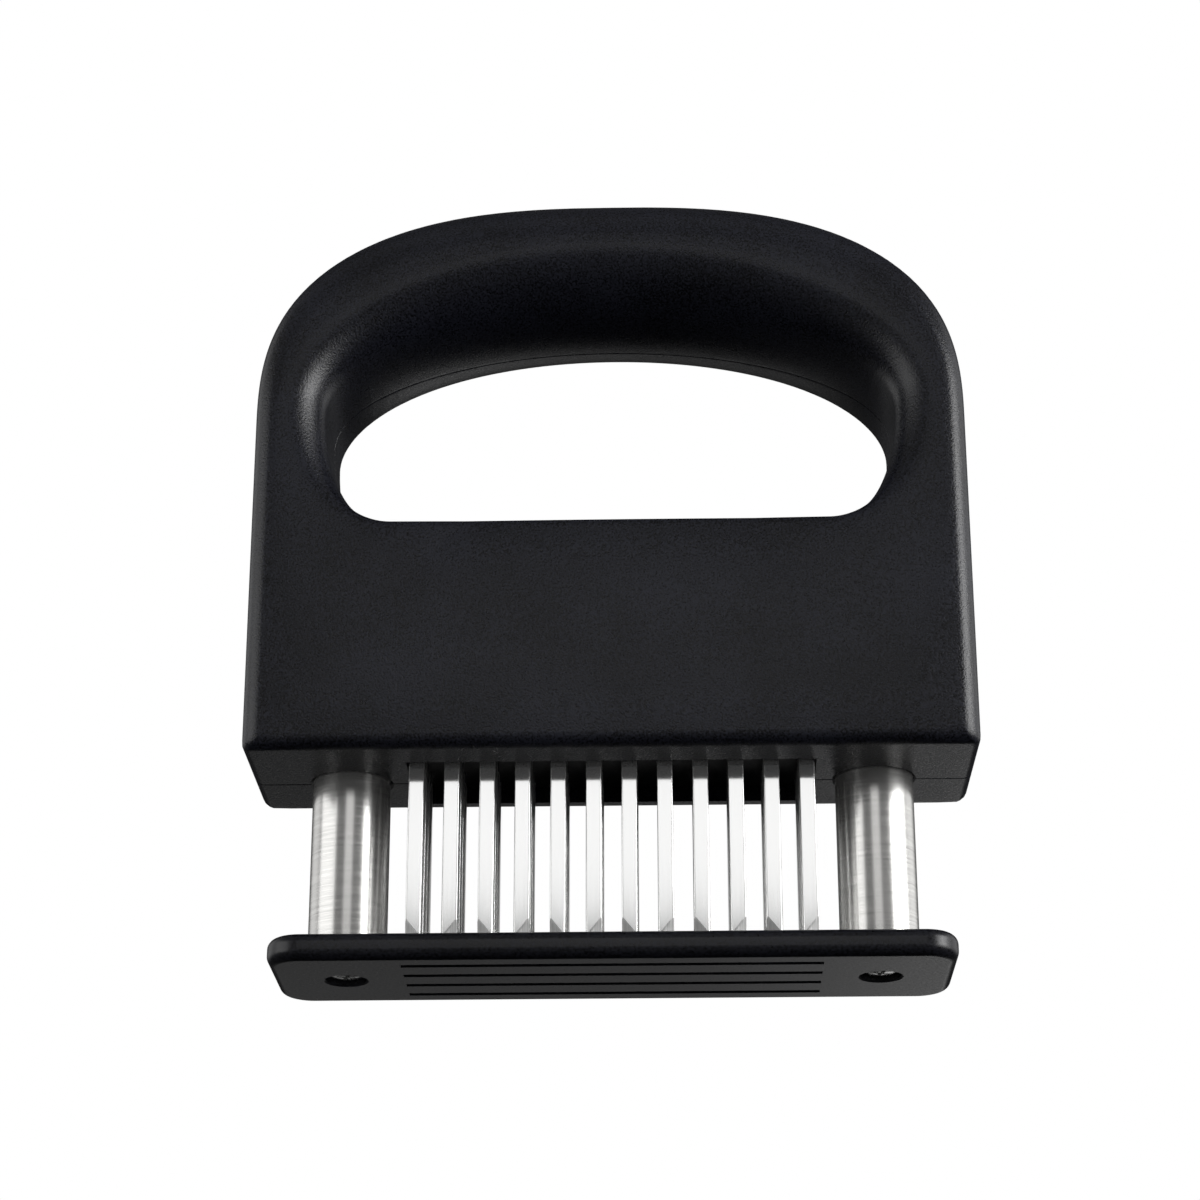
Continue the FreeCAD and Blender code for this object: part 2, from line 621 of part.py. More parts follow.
def loft(name, wires, ruled):
    """Solid through wires that stand one behind the other."""
    sections = []
    for n, wire in enumerate(wires, 1):
        section = doc.addObject("Part::Feature", f"{name}_section_{n}")
        section.Shape = wire
        sections.append(section)
    item = doc.addObject("Part::Loft", name)
    item.Sections = sections
    item.Solid = True
    item.Ruled = ruled
    return item


def head_lofts(name, inset, steps, ruled):
    """The head's outside and the finger loop's wall, both moved into the plastic by inset."""
    front, rear = place("head_front") + inset, place("head_rear") - inset
    middle, half_depth = (front + rear) / 2, (rear - front) / 2
    grip = size("grip_height") / 2 - inset
    widest = math.acos(size("grip_flat") / grip)
    reach = half_depth / math.sin(widest)
    side = max(size("side_rounding") - inset, size("grip_flat"))
    bottom = max(size("bottom_rounding") - inset, 0)
    roll = max(size("arm_roll") - inset, 0)
    floor_rounding = size("floor_rounding") + inset
    outside, loop = [], []
    for step in range(steps + 1):
        angle = widest * (2 * step / steps - 1)
        y = middle + reach * math.sin(angle)
        to_face = half_depth - abs(y - middle)
        if step in (0, steps):
            to_face = 0.0
        sink = 1 - math.cos(angle)
        outside.append(head_wire(y, place("head_x") - inset - rounding(to_face, side),
                                 place("head_bottom") + inset + rounding(to_face, bottom),
                                 place("head_top") - inset - grip * sink, size("corner_rounding")))
        loop.append(loop_wire(y, place("loop_x") + inset + rounding(to_face, roll),
                              place("loop_floor") - inset - rounding(to_face, floor_rounding),
                              place("loop_top") + inset + grip * sink))
    return loft(f"{name}_outside", outside, ruled), loft(f"{name}_loop", loop, ruled)


def collar_guides():
    """Round guides for the collars, each with a pilot for the spring and a rib to the side wall."""
    pieces = []
    low, high = "head_floor - root_depth", "head_ceiling + root_depth"
    for side, sign in SIDES:
        x = f"{sign} * post_x"
        tube = cylinder(f"guide_tube_{side}", "guide_radius", x, "0", low, high)
        bore = cylinder(f"guide_bore_{side}", "guide_bore", x, "0", "head_floor", "head_ceiling")
        pieces.append(cut(f"guide_{side}", tube, bore))
        pieces.append(cylinder(f"spring_pilot_{side}", "pilot_diameter / 2", x, "0",
                               "head_ceiling - pilot_height", high))
        near = f"{sign} * (post_x + guide_bore + guide_wall / 2)"
        far = f"{sign} * (head_x - head_wall + root_depth)"
        ends = (near, far) if sign > 0 else (far, near)
        pieces.append(box(f"guide_rib_{side}", (ends[0], "-rib / 2", low), (ends[1], "rib / 2", high)))
    return pieces


def hold_down_ribs():
    """Ribs that hold the carrier from the front, from the rear and from above."""
    ribs = []
    for side, sign in SIDES:
        x = f"{sign} * rib_place"
        ribs.append(box(f"hold_down_{side}",
                        (f"{x} - rib / 2", "inner_front - root_depth", "head_floor - root_depth"),
                        (f"{x} + rib / 2", "inner_rear + root_depth", "head_ceiling + root_depth")))
    room = box("carrier_room", ("-carrier_x", "-carrier_y - carrier_gap", "head_floor"),
               ("carrier_x", "carrier_y + carrier_gap", "clamp_top + carrier_gap"))
    return cut("hold_down_ribs", fuse("hold_down_blocks", ribs), room)


def joint_spots():
    """Centres of the bosses that join the shells: two low ones and three in the grip."""
    low = [(f"{sign} * lower_boss_place", "lower_boss_z") for side, sign in SIDES]
    grip = [(f"{place_in_grip} * grip_boss_place", "grip_z") for place_in_grip in (-1, 0, 1)]
    return low + grip


def make_shells():
    outside, loop = head_lofts("head", 0, SECTION_STEPS, False)
    room_outside, room_loop = head_lofts("room", size("head_wall"), ROOM_STEPS, True)
    solid = cut("head_solid", outside, loop)
    room = cut("head_room", room_outside, room_loop)
    hollow = cut("head_hollow", solid, room)

    bosses = [cross_cylinder(f"joint_boss_{n}", "boss_diameter / 2", x, z,
                             "inner_front - root_depth", "inner_rear + root_depth")
              for n, (x, z) in enumerate(joint_spots(), 1)]
    works = fuse("head_works", collar_guides() + [hold_down_ribs()] + bosses)
    filled = fuse("head_filled", [hollow, works])

    openings = [box("blade_opening", ("-carrier_x + rim", "-carrier_y + rim", "head_bottom - cut_margin"),
                    ("carrier_x - rim", "carrier_y - rim", "head_floor"))]
    for side, sign in SIDES:
        openings.append(cylinder(f"post_hole_{side}", "post_radius + slide_fit", f"{sign} * post_x", "0",
                                 "head_bottom - cut_margin", "head_floor"))
    whole = cut("head_whole", filled, fuse("head_openings", openings))

    front_half = box("front_half",
                     ("-head_x - cut_margin", "head_front - cut_margin", "head_bottom - cut_margin"),
                     ("head_x + cut_margin", "0", "head_top + cut_margin"))
    pins = [cross_cylinder(f"joint_pin_{n}", "pin_diameter / 2", x, z, "-cut_margin", "pin_length")
            for n, (x, z) in enumerate(joint_spots(), 1)]
    sockets = [cross_cylinder(f"joint_socket_{n}", "pin_diameter / 2 + seat_fit", x, z,
                              "-cut_margin", "pin_length + seat_fit")
               for n, (x, z) in enumerate(joint_spots(), 1)]
    keep("front_shell", common("front_shell", whole, fuse("front_side", [front_half] + pins)))
    keep("rear_shell", cut("rear_shell", whole, fuse("front_side_sockets", [front_half] + sockets)))


# ---------------------------------------------------------------- build, check and write

make_base_plate()
for side, sign in SIDES:
    make_base_screw(side, sign)
    make_post(side, sign)
    make_plug(side, sign)
    make_collar(side, sign)
    make_spring(side, sign)
make_blades()
make_carrier()
make_clamp()
make_shells()
doc.recompute()

for item in doc.Objects:
    if "Invalid" in item.State or "Error" in item.State:
        raise RuntimeError(f"{item.Label} could not be computed: {item.State}")
for node, item in parts.items():
    if item.Shape.isNull() or not item.Shape.isValid():
        raise RuntimeError(f"{node} has no valid shape")

os.makedirs("parts", exist_ok=True)
for node, item in parts.items():
    item.Shape.exportStep(f"parts/{node}.step")
    extent = item.Shape.BoundBox
    print(f"{node}: {len(item.Shape.Solids)} solid(s), {item.Shape.Volume:.1f} mm3, "
          f"X {extent.XMin:.2f}..{extent.XMax:.2f} Y {extent.YMin:.2f}..{extent.YMax:.2f} "
          f"Z {extent.ZMin:.2f}..{extent.ZMax:.2f}")
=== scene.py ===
import math

import bmesh
import bpy
import numpy as np
from mathutils import Matrix, Quaternion, Vector


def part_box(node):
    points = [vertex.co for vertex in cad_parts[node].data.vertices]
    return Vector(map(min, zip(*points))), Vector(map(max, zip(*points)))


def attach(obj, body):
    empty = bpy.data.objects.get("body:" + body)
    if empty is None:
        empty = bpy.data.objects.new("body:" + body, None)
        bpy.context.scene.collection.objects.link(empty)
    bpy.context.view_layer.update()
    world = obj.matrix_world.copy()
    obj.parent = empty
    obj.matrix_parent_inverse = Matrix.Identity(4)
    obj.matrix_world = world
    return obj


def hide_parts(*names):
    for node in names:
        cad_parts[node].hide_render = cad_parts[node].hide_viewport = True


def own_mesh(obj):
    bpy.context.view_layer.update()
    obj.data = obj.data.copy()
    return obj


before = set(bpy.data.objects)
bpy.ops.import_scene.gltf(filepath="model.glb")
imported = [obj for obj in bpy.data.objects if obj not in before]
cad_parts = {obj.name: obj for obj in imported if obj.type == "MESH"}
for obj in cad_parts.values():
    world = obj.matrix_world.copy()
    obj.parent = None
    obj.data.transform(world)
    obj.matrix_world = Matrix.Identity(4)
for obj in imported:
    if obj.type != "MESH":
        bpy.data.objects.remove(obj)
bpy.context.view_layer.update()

# Lengths are in metres, in the part's own frame: +Z up, -Y the front, origin under the base plate.
MM = 0.001
SIDES = (("left", -1), ("right", 1))


# ---------------------------------------------------------------- sizes

# taken from the frame
HEAD_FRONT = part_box("front_shell")[0].y
HEAD_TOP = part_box("front_shell")[1].z
HEAD_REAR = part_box("rear_shell")[1].y
plate_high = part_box("base_plate")[1]
post_low, post_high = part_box("guide_post_right")
POST_X = (post_low.x + post_high.x) / 2
POST_RADIUS = (post_high.x - post_low.x) / 2
collar_low, collar_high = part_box("stop_collar_right")
COLLAR_RADIUS = (collar_high.x - collar_low.x) / 2
screw_low, screw_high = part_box("base_screw_right")
spring_low, spring_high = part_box("return_spring_right")
carrier_low, carrier_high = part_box("blade_carrier")
CLAMP_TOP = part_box("blade_clamp_plate")[1].z
ROWS = 4
PAIRS = 6

# the head's form, as the part has it
WALL = 2.5 * MM
HEAD_END = 14.8 * MM
GRIP_HEIGHT = 22.2 * MM
GRIP_FLAT = 1 * MM
LOOP_HEIGHT = 36 * MM
LOOP_SIDE = 19.7 * MM
LOOP_CORNER = 10.8 * MM
ARM_WIDTH = 10.4 * MM
ARM_ROLL = 6 * MM
SHOULDER = 16.7 * MM
SHOULDER_POWER = 2.7
FLOOR_ROUNDING = 1.2 * MM
SIDE_ROUNDING = 3.4 * MM
BOTTOM_ROUNDING = 2 * MM
CORNER_ROUNDING = 1.4 * MM
HEAD_X = POST_X + HEAD_END
HEAD_BOTTOM = carrier_low.z - WALL
LOOP_TOP = HEAD_TOP - GRIP_HEIGHT
LOOP_FLOOR = LOOP_TOP - LOOP_HEIGHT
LOOP_WIDE = LOOP_FLOOR + LOOP_SIDE
LOOP_X = HEAD_X - ARM_WIDTH
LOOP_FLOOR_X = LOOP_X - LOOP_CORNER
SHOULDER_Z = LOOP_FLOOR + SHOULDER
HEAD_FLOOR = HEAD_BOTTOM + WALL
HEAD_CEILING = LOOP_FLOOR - WALL

# inside the head
COLLAR_GAP = 0.25 * MM
GUIDE_WALL = 1.2 * MM
GUIDE_BORE = COLLAR_RADIUS + COLLAR_GAP
GUIDE_RADIUS = GUIDE_BORE + GUIDE_WALL
GUIDE_REACH = 30 * MM   # to each side of a post, enough to take in its guide and rib
PILOT_RADIUS = 3.5 * MM
PILOT_HEIGHT = 3 * MM
RIB = 1.6 * MM
RIB_X = 8 * MM
RIB_START = 0.5 * MM    # from a guide's bore to the end of the rib in its wall
ROOT_DEPTH = 0.5 * MM   # how far ribs, guides and bosses reach into the wall that carries them
BOSS_RADIUS = 2.75 * MM
PIN_RADIUS = 1.25 * MM
PIN_LENGTH = 3 * MM
LOWER_BOSS_X = 14 * MM
GRIP_BOSS_X = 24 * MM
FIT = 0.05 * MM
SLIDE_FIT = 0.08 * MM
CARRIER_GAP = 0.1 * MM
OPENING_RIM = 0.5 * MM
HOLE_LEAD = 0.35 * MM   # of the post holes, at the head's underside
OVERCUT = 1 * MM        # how far a cutter reaches past what it cuts, and a pin into its boss

# how finely the shells are drawn
SKIN_STEP = 3.0         # degrees of the grip's round section between two rings
CAVITY_STEP = 9.0
ARC_RAYS = 33           # rays through a quarter round of the outlines
SIDE_RAYS = 14          # through a straight side of the head, and through half of the loop's floor
BOTTOM_RAYS = 20        # through half of the head's bottom
LEAST_TURN = math.radians(0.3)    # between two rays
HALVINGS = 44           # of a ray, to find where it meets an outline
SEAM_GAP = 0.03 * MM    # half of the gap between the shells
SEAM_BEVEL = 0.16 * MM
FACE_RINGS = 12         # rings across the flat of a face
CROWN_TILT = 0.08       # slope of a face at its rims
CROWN_POWER = 3
CROWN_FADE = 7 * MM     # depth below the face at which the crown has run out


# ---------------------------------------------------------------- mesh helpers

def new_object(name, mesh):
    item = bpy.data.objects.new(name, mesh)
    bpy.context.scene.collection.objects.link(item)
    return item


def from_bmesh(name, bm):
    mesh = bpy.data.meshes.new(name)
    bmesh.ops.recalc_face_normals(bm, faces=bm.faces[:])
    bm.to_mesh(mesh)
    bm.free()
    return new_object(name, mesh)


def closed_grid(name, points):
    """Mesh through a grid of points that closes on itself both ways."""
    rings, around = points.shape[:2]
    mesh = bpy.data.meshes.new(name)
    number = np.arange(rings * around).reshape(rings, around)
    ahead = np.roll(number, -1, axis=0)
    quads = np.stack([number, np.roll(number, -1, axis=1), np.roll(ahead, -1, axis=1), ahead], axis=-1)
    mesh.from_pydata(points.reshape(-1, 3).tolist(), [], quads.reshape(-1, 4).tolist())
    item = new_object(name, mesh)
    bm = bmesh.new()
    bm.from_mesh(mesh)
    bmesh.ops.recalc_face_normals(bm, faces=bm.faces[:])
    bm.to_mesh(mesh)
    bm.free()
    return item


ON_AXIS = 1e-9    # a smaller radius is a point on the axis


def lathe(name, profile, segments=96, centre=(0, 0), axis="Z"):
    """Solid of revolution from a closed or axis-to-axis profile of (radius, height) points."""
    bm = bmesh.new()
    rings = []
    for radius, height in profile:
        if radius < ON_AXIS:
            rings.append([bm.verts.new((0, 0, height))])
            continue
        rings.append([bm.verts.new((radius * math.cos(2 * math.pi * k / segments),
                                    radius * math.sin(2 * math.pi * k / segments), height))
                      for k in range(segments)])
    closed = len(rings[0]) > 1 and len(rings[-1]) > 1
    pairs = list(zip(rings, rings[1:])) + ([(rings[-1], rings[0])] if closed else [])
    for a, b in pairs:
        for k in range(segments):
            n = (k + 1) % segments
            corners = [a[k % len(a)], a[n % len(a)], b[n % len(b)], b[k % len(b)]]
            unique = list(dict.fromkeys(corners))
            if len(unique) > 2:
                bm.faces.new(unique)
    item = from_bmesh(name, bm)
    turn = Matrix.Rotation(-math.pi / 2, 4, "X") if axis == "Y" else Matrix.Identity(4)
    item.data.transform(Matrix.Translation((centre[0], 0 if axis == "Y" else centre[1],
                                            centre[1] if axis == "Y" else 0)) @ turn)
    return item


def rod(name, radius, x, y, low, high, segments=96):
    return lathe(name, [(0, low), (radius, low), (radius, high), (0, high)], segments, (x, y))


def cross_rod(name, radius, x, z, front, rear, segments=48):
    """Cylinder along Y between two depths."""
    return lathe(name, [(0, front), (radius, front), (radius, rear), (0, rear)], segments, (x, z), "Y")


def block(name, low, high):
    bm = bmesh.new()
    bmesh.ops.create_cube(bm, size=1)
    for vertex in bm.verts:
        vertex.co = [a + (b - a) * (c + 0.5) for a, b, c in zip(low, high, vertex.co)]
    return from_bmesh(name, bm)


def discard(item):
    mesh = item.data
    bpy.data.objects.remove(item)
    bpy.data.meshes.remove(mesh)


def apply_modifiers(item):
    evaluated = item.evaluated_get(bpy.context.evaluated_depsgraph_get())
    mesh = bpy.data.meshes.new_from_object(evaluated)
    old = item.data
    item.modifiers.clear()
    item.data = mesh
    bpy.data.meshes.remove(old)
    mesh.name = item.name
    return item


def combine(item, tool, operation):
    """Boolean of two closed meshes. The tool is used up."""
    modifier = item.modifiers.new("boolean", "BOOLEAN")
    modifier.solver = "MANIFOLD"
    modifier.operation = operation
    modifier.object = tool
    apply_modifiers(item)
    discard(tool)
    return item


def join(name, items):
    """One object from several that don't touch."""
    bm = bmesh.new()
    for item in items:
        bm.from_mesh(item.data)
        discard(item)
    return from_bmesh(name, bm)


def shade(item, sharp_degrees=32):
    """Smooth shading, with sharp edges kept and flat faces left flat up to their rounded edges."""
    mesh = item.data
    mesh.shade_smooth()
    mesh.set_sharp_from_angle(angle=math.radians(sharp_degrees))
    modifier = item.modifiers.new("weighted", "WEIGHTED_NORMAL")
    modifier.mode = "FACE_AREA"
    modifier.keep_sharp = True
    modifier.weight = 100
    return apply_modifiers(item)


def dress(item, body, material, node):
    """Gives a piece its material and its body, and hides the node that it stands for."""
    item.data.materials.clear()
    item.data.materials.append(material)
    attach(item, body)
    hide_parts(node)
    return item


# ---------------------------------------------------------------- head shells

def rounding(distance, radius):
    """How far an edge rounding has moved in at this distance from the face."""
    if distance >= radius:
        return 0.0
    return radius - math.sqrt(max(radius ** 2 - (radius - distance) ** 2, 0))


class Section:
    """The head's outline and the finger loop's at one depth, both moved into the plastic by inset."""

    def __init__(self, y, inset):
        front, rear = HEAD_FRONT + inset, HEAD_REAR - inset
        middle, half_depth = (front + rear) / 2, (rear - front) / 2
        grip = GRIP_HEIGHT / 2 - inset
        reach = half_depth / math.sin(math.acos(GRIP_FLAT / grip))
        sink = 1 - math.sqrt(1 - min(((y - middle) / reach) ** 2, 1))
        to_face = max(half_depth - abs(y - middle), 0)
        self.half_x = HEAD_X - inset - rounding(to_face, max(SIDE_ROUNDING - inset, GRIP_FLAT))
        self.low = HEAD_BOTTOM + inset + rounding(to_face, max(BOTTOM_ROUNDING - inset, 0))
        self.high = HEAD_TOP - inset - grip * sink
        self.loop_x = LOOP_X + inset + rounding(to_face, max(ARM_ROLL - inset, 0))
        self.floor = LOOP_FLOOR - inset - rounding(to_face, FLOOR_ROUNDING + inset)
        self.loop_top = LOOP_TOP + inset + grip * sink

    def in_head(self, x, z):
        x = np.abs(x)
        rise = np.maximum(z - SHOULDER_Z, 0) / (self.high - SHOULDER_Z)
        arch = (x / self.half_x) ** SHOULDER_POWER + rise ** SHOULDER_POWER <= 1
        past_x = np.maximum(x - (self.half_x - CORNER_ROUNDING), 0)
        past_z = np.maximum(self.low + CORNER_ROUNDING - z, 0)
        return np.where(z > SHOULDER_Z, arch, np.hypot(past_x, past_z) <= CORNER_ROUNDING)

    def in_loop(self, x, z):
        x = np.abs(x)
        arch = (x / self.loop_x) ** 2 + ((z - LOOP_WIDE) / (self.loop_top - LOOP_WIDE)) ** 2 <= 1
        past_x = np.maximum(x - LOOP_FLOOR_X, 0) / (self.loop_x - LOOP_FLOOR_X)
        past_z = (LOOP_WIDE - z) / (LOOP_WIDE - self.floor)
        return np.where(z > LOOP_WIDE, arch, past_x ** 2 + past_z ** 2 <= 1)


RAY_Z = LOOP_WIDE + 5 * MM    # height of the point that the shells' rays start from
RAY_LENGTH = 150 * MM


def ray_lengths(angles, inside):
    """Distance along each ray to the outline that the test describes, by halving."""
    near = np.zeros_like(angles)
    far = np.full_like(angles, RAY_LENGTH)
    for _ in range(HALVINGS):
        middle = (near + far) / 2
        held = inside(middle * np.sin(angles), RAY_Z + middle * np.cos(angles))
        near, far = np.where(held, middle, near), np.where(held, far, middle)
    return near


def ray_angles():
    """Angles of the rays, from straight up through +X to straight down and back up through -X. They
    are close together where the head's outline or the loop's turns sharply."""
    quarter = np.radians(np.linspace(0, 90, ARC_RAYS))
    corner = quarter[::3]
    power = 2 / SHOULDER_POWER
    head_side = np.linspace(HEAD_BOTTOM + CORNER_ROUNDING, SHOULDER_Z, SIDE_RAYS)
    head_bottom = np.linspace(0, HEAD_X - CORNER_ROUNDING, BOTTOM_RAYS)
    loop_floor = np.linspace(0, LOOP_FLOOR_X, SIDE_RAYS)
    points = [(HEAD_X * np.cos(quarter) ** power,
               SHOULDER_Z + (HEAD_TOP - SHOULDER_Z) * np.sin(quarter) ** power),
              (np.full(SIDE_RAYS, HEAD_X), head_side),
              (HEAD_X - CORNER_ROUNDING * (1 - np.cos(corner)),
               HEAD_BOTTOM + CORNER_ROUNDING * (1 - np.sin(corner))),
              (head_bottom, np.full(BOTTOM_RAYS, HEAD_BOTTOM)),
              (LOOP_X * np.cos(quarter), LOOP_WIDE + (LOOP_TOP - LOOP_WIDE) * np.sin(quarter)),
              (LOOP_FLOOR_X + LOOP_CORNER * np.cos(quarter), LOOP_WIDE - LOOP_SIDE * np.sin(quarter)),
              (loop_floor, np.full(SIDE_RAYS, LOOP_FLOOR))]
    angles = np.sort(np.concatenate([np.arctan2(np.maximum(x, 0), z - RAY_Z) for x, z in points]))
    kept = [0.0]
    for angle in angles:
        if angle - kept[-1] > LEAST_TURN and angle < math.pi - LEAST_TURN:
            kept.append(angle)
    half = np.array(kept[1:])
    return np.concatenate([[0.0], half, [math.pi], -half[::-1]])


def depths(side, inset, step):
    """Depths from the seam to a face of the head, closer together near the face."""
    front, rear = HEAD_FRONT + inset, HEAD_REAR - inset
    middle, half_depth = (front + rear) / 2, (rear - front) / 2
    widest = math.acos(GRIP_FLAT / (GRIP_HEIGHT / 2 - inset))
    reach = half_depth / math.sin(widest)
    first, last = math.asin((side * SEAM_GAP - middle) / reach), side * widest
    count = max(round(abs(math.degrees(last - first)) / step), 2)
    turns = np.linspace(first, last, count + 1)
    return [middle + reach * math.sin(turn) for turn in turns]


def shell_skin(name, side):
    """One half of the head as a closed shell: outer skin, face, loop skin, rims at the seam, cavity."""
    angles = ray_angles()

    def ring(lengths, y):
        across, up = lengths * np.sin(angles), RAY_Z + lengths * np.cos(angles)
        return np.stack([across, y + np.zeros_like(angles), up], axis=-1)

    def rings(inset, step, bevel):
        """Rings of the outer skin and of the loop skin, from the seam to the face."""
        outer, loop = [], []
        levels = depths(side, inset, step)
        if bevel:
            levels.insert(1, side * (SEAM_GAP + bevel))
            levels = [levels[0]] + [y for y in levels[1:] if abs(y) >= SEAM_GAP + bevel]
        for n, y in enumerate(levels):
            section = Section(y, inset)
            drop = bevel if n == 0 else 0
            outer.append((ray_lengths(angles, section.in_head) - drop, y))
            loop.append((ray_lengths(angles, section.in_loop) + drop, y))
        return outer, loop

    outer, loop = rings(0, SKIN_STEP, SEAM_BEVEL)
    cavity_outer, cavity_loop = rings(WALL, CAVITY_STEP, 0)
    (face_outer, face_y), (face_loop, _) = outer[-1], loop[-1]
    span = face_outer - face_loop
    face = [(face_loop + span * n / FACE_RINGS, face_y) for n in range(1, FACE_RINGS)]

    def crowned(lengths, y):
        """Draws a face in towards both of its rims, so that it is slightly domed."""
        bow = np.clip(np.abs(2 * (lengths - face_loop) / span - 1), 0, 1) ** CROWN_POWER
        near = max(1 - abs(y - face_y) / CROWN_FADE, 0)
        return lengths, y - side * CROWN_TILT * span / (2 * CROWN_POWER) * bow * near

    skin = [crowned(lengths, y) for lengths, y in loop + face + outer[::-1]]
    profile = skin + cavity_outer + cavity_loop[::-1]
    return closed_grid(name, np.stack([ring(lengths, y) for lengths, y in profile]))


def joint_spots():
    """Centres of the bosses that join the shells."""
    low = [(sign * LOWER_BOSS_X, (CLAMP_TOP + HEAD_CEILING) / 2) for _, sign in SIDES]
    return low + [(n * GRIP_BOSS_X, LOOP_TOP + GRIP_HEIGHT / 2) for n in (-1, 0, 1)]


def shell_works(side):
    """Collar guides, ribs and bosses inside one half of the head, up to the seam."""
    seam = side * SEAM_GAP
    inner = HEAD_FRONT + WALL - ROOT_DEPTH if side < 0 else HEAD_REAR - WALL + ROOT_DEPTH
    near, far = min(seam, inner), max(seam, inner)
    low, high = HEAD_FLOOR - ROOT_DEPTH, HEAD_CEILING + ROOT_DEPTH
    works = []
    for _, sign in SIDES:
        x = sign * POST_X
        guide = lathe("guide", [(GUIDE_RADIUS, low), (GUIDE_RADIUS, high), (GUIDE_BORE, high),
                                (GUIDE_BORE, low)], segments=64, centre=(x, 0))
        pilot = rod("pilot", PILOT_RADIUS, x, 0, HEAD_CEILING - PILOT_HEIGHT, high, segments=48)
        combine(guide, pilot, "UNION")
        ends = sorted((sign * (POST_X + GUIDE_BORE + RIB_START), sign * (HEAD_X - WALL + ROOT_DEPTH)))
        combine(guide, block("rib", (ends[0], -RIB / 2, low), (ends[1], RIB / 2, high)), "UNION")
        half = block("half", (x - GUIDE_REACH, near, low - OVERCUT), (x + GUIDE_REACH, far, high + OVERCUT))
        combine(guide, half, "INTERSECT")
        rib = block("rib", (sign * RIB_X - RIB / 2, near, low), (sign * RIB_X + RIB / 2, far, high))
        room = block("room", (carrier_low.x, carrier_low.y - CARRIER_GAP, low - OVERCUT),
                     (carrier_high.x, carrier_high.y + CARRIER_GAP, CLAMP_TOP + CARRIER_GAP))
        works += [guide, combine(rib, room, "DIFFERENCE")]
    for x, z in joint_spots():
        boss = cross_rod("boss", BOSS_RADIUS, x, z, near, far)
        if side < 0:
            pin = cross_rod("pin", PIN_RADIUS, x, z, -OVERCUT, PIN_LENGTH)
            combine(boss, pin, "UNION")
        else:
            socket = cross_rod("socket", PIN_RADIUS + FIT, x, z, -OVERCUT, PIN_LENGTH + FIT)
            combine(boss, socket, "DIFFERENCE")
        works.append(boss)
    return join("works", works)


def shell_openings():
    """Post holes with a small lead-in and the opening for the blades, as cutters."""
    radius, low, high = POST_RADIUS + SLIDE_FIT, HEAD_BOTTOM - OVERCUT, HEAD_FLOOR + OVERCUT
    hole = [(0, low), (radius + HOLE_LEAD + OVERCUT, low), (radius, HEAD_BOTTOM + HOLE_LEAD),
            (radius, high), (0, high)]
    cutters = [lathe("post_hole", hole, centre=(sign * POST_X, 0)) for _, sign in SIDES]
    rim = OPENING_RIM
    cutters.append(block("blade_opening", (carrier_low.x + rim, carrier_low.y + rim, low),
                         (carrier_high.x - rim, carrier_high.y - rim, HEAD_FLOOR + FIT)))
    return join("openings", cutters)


def make_shell(name, side):
    shell = shell_skin(name, side)
    combine(shell, shell_works(side), "UNION")
    combine(shell, shell_openings(), "DIFFERENCE")
    return shade(shell)


# ---------------------------------------------------------------- foot

PLATE_CORNER = 5 * MM
PLATE_ROUNDING = 1.5 * MM
ROUNDING_STEPS = 8
SLOT_WIDTH = 1.4 * MM
SLOT_END = 0.55 * MM
POST_WALL = 0.8 * MM
POST_EDGE = 0.12 * MM
SCREW_RECESS = 3.05 * MM
RECESS_EDGE = 0.25 * MM
SCREW_HEAD_TOP = 2.0 * MM
SCREW_SHANK = 1.5 * MM
BLADE_THICKNESS = 0.9 * MM
ROW_PITCH = 5.25 * MM
BLADE_PITCH = 5.25 * MM
FIELD_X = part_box(f"twin_blade_row1_pair{PAIRS}")[1].x


def rounded_rectangle(half_x, half_y, radius, steps=16):
    points = []
    for quarter, (sx, sy) in enumerate(((1, 1), (-1, 1), (-1, -1), (1, -1))):
        for n in range(steps + 1):
            turn = math.radians(90 * (quarter + n / steps))
            points.append((sx * (half_x - radius) + radius * math.cos(turn),
                           sy * (half_y - radius) + radius * math.sin(turn)))
    return points


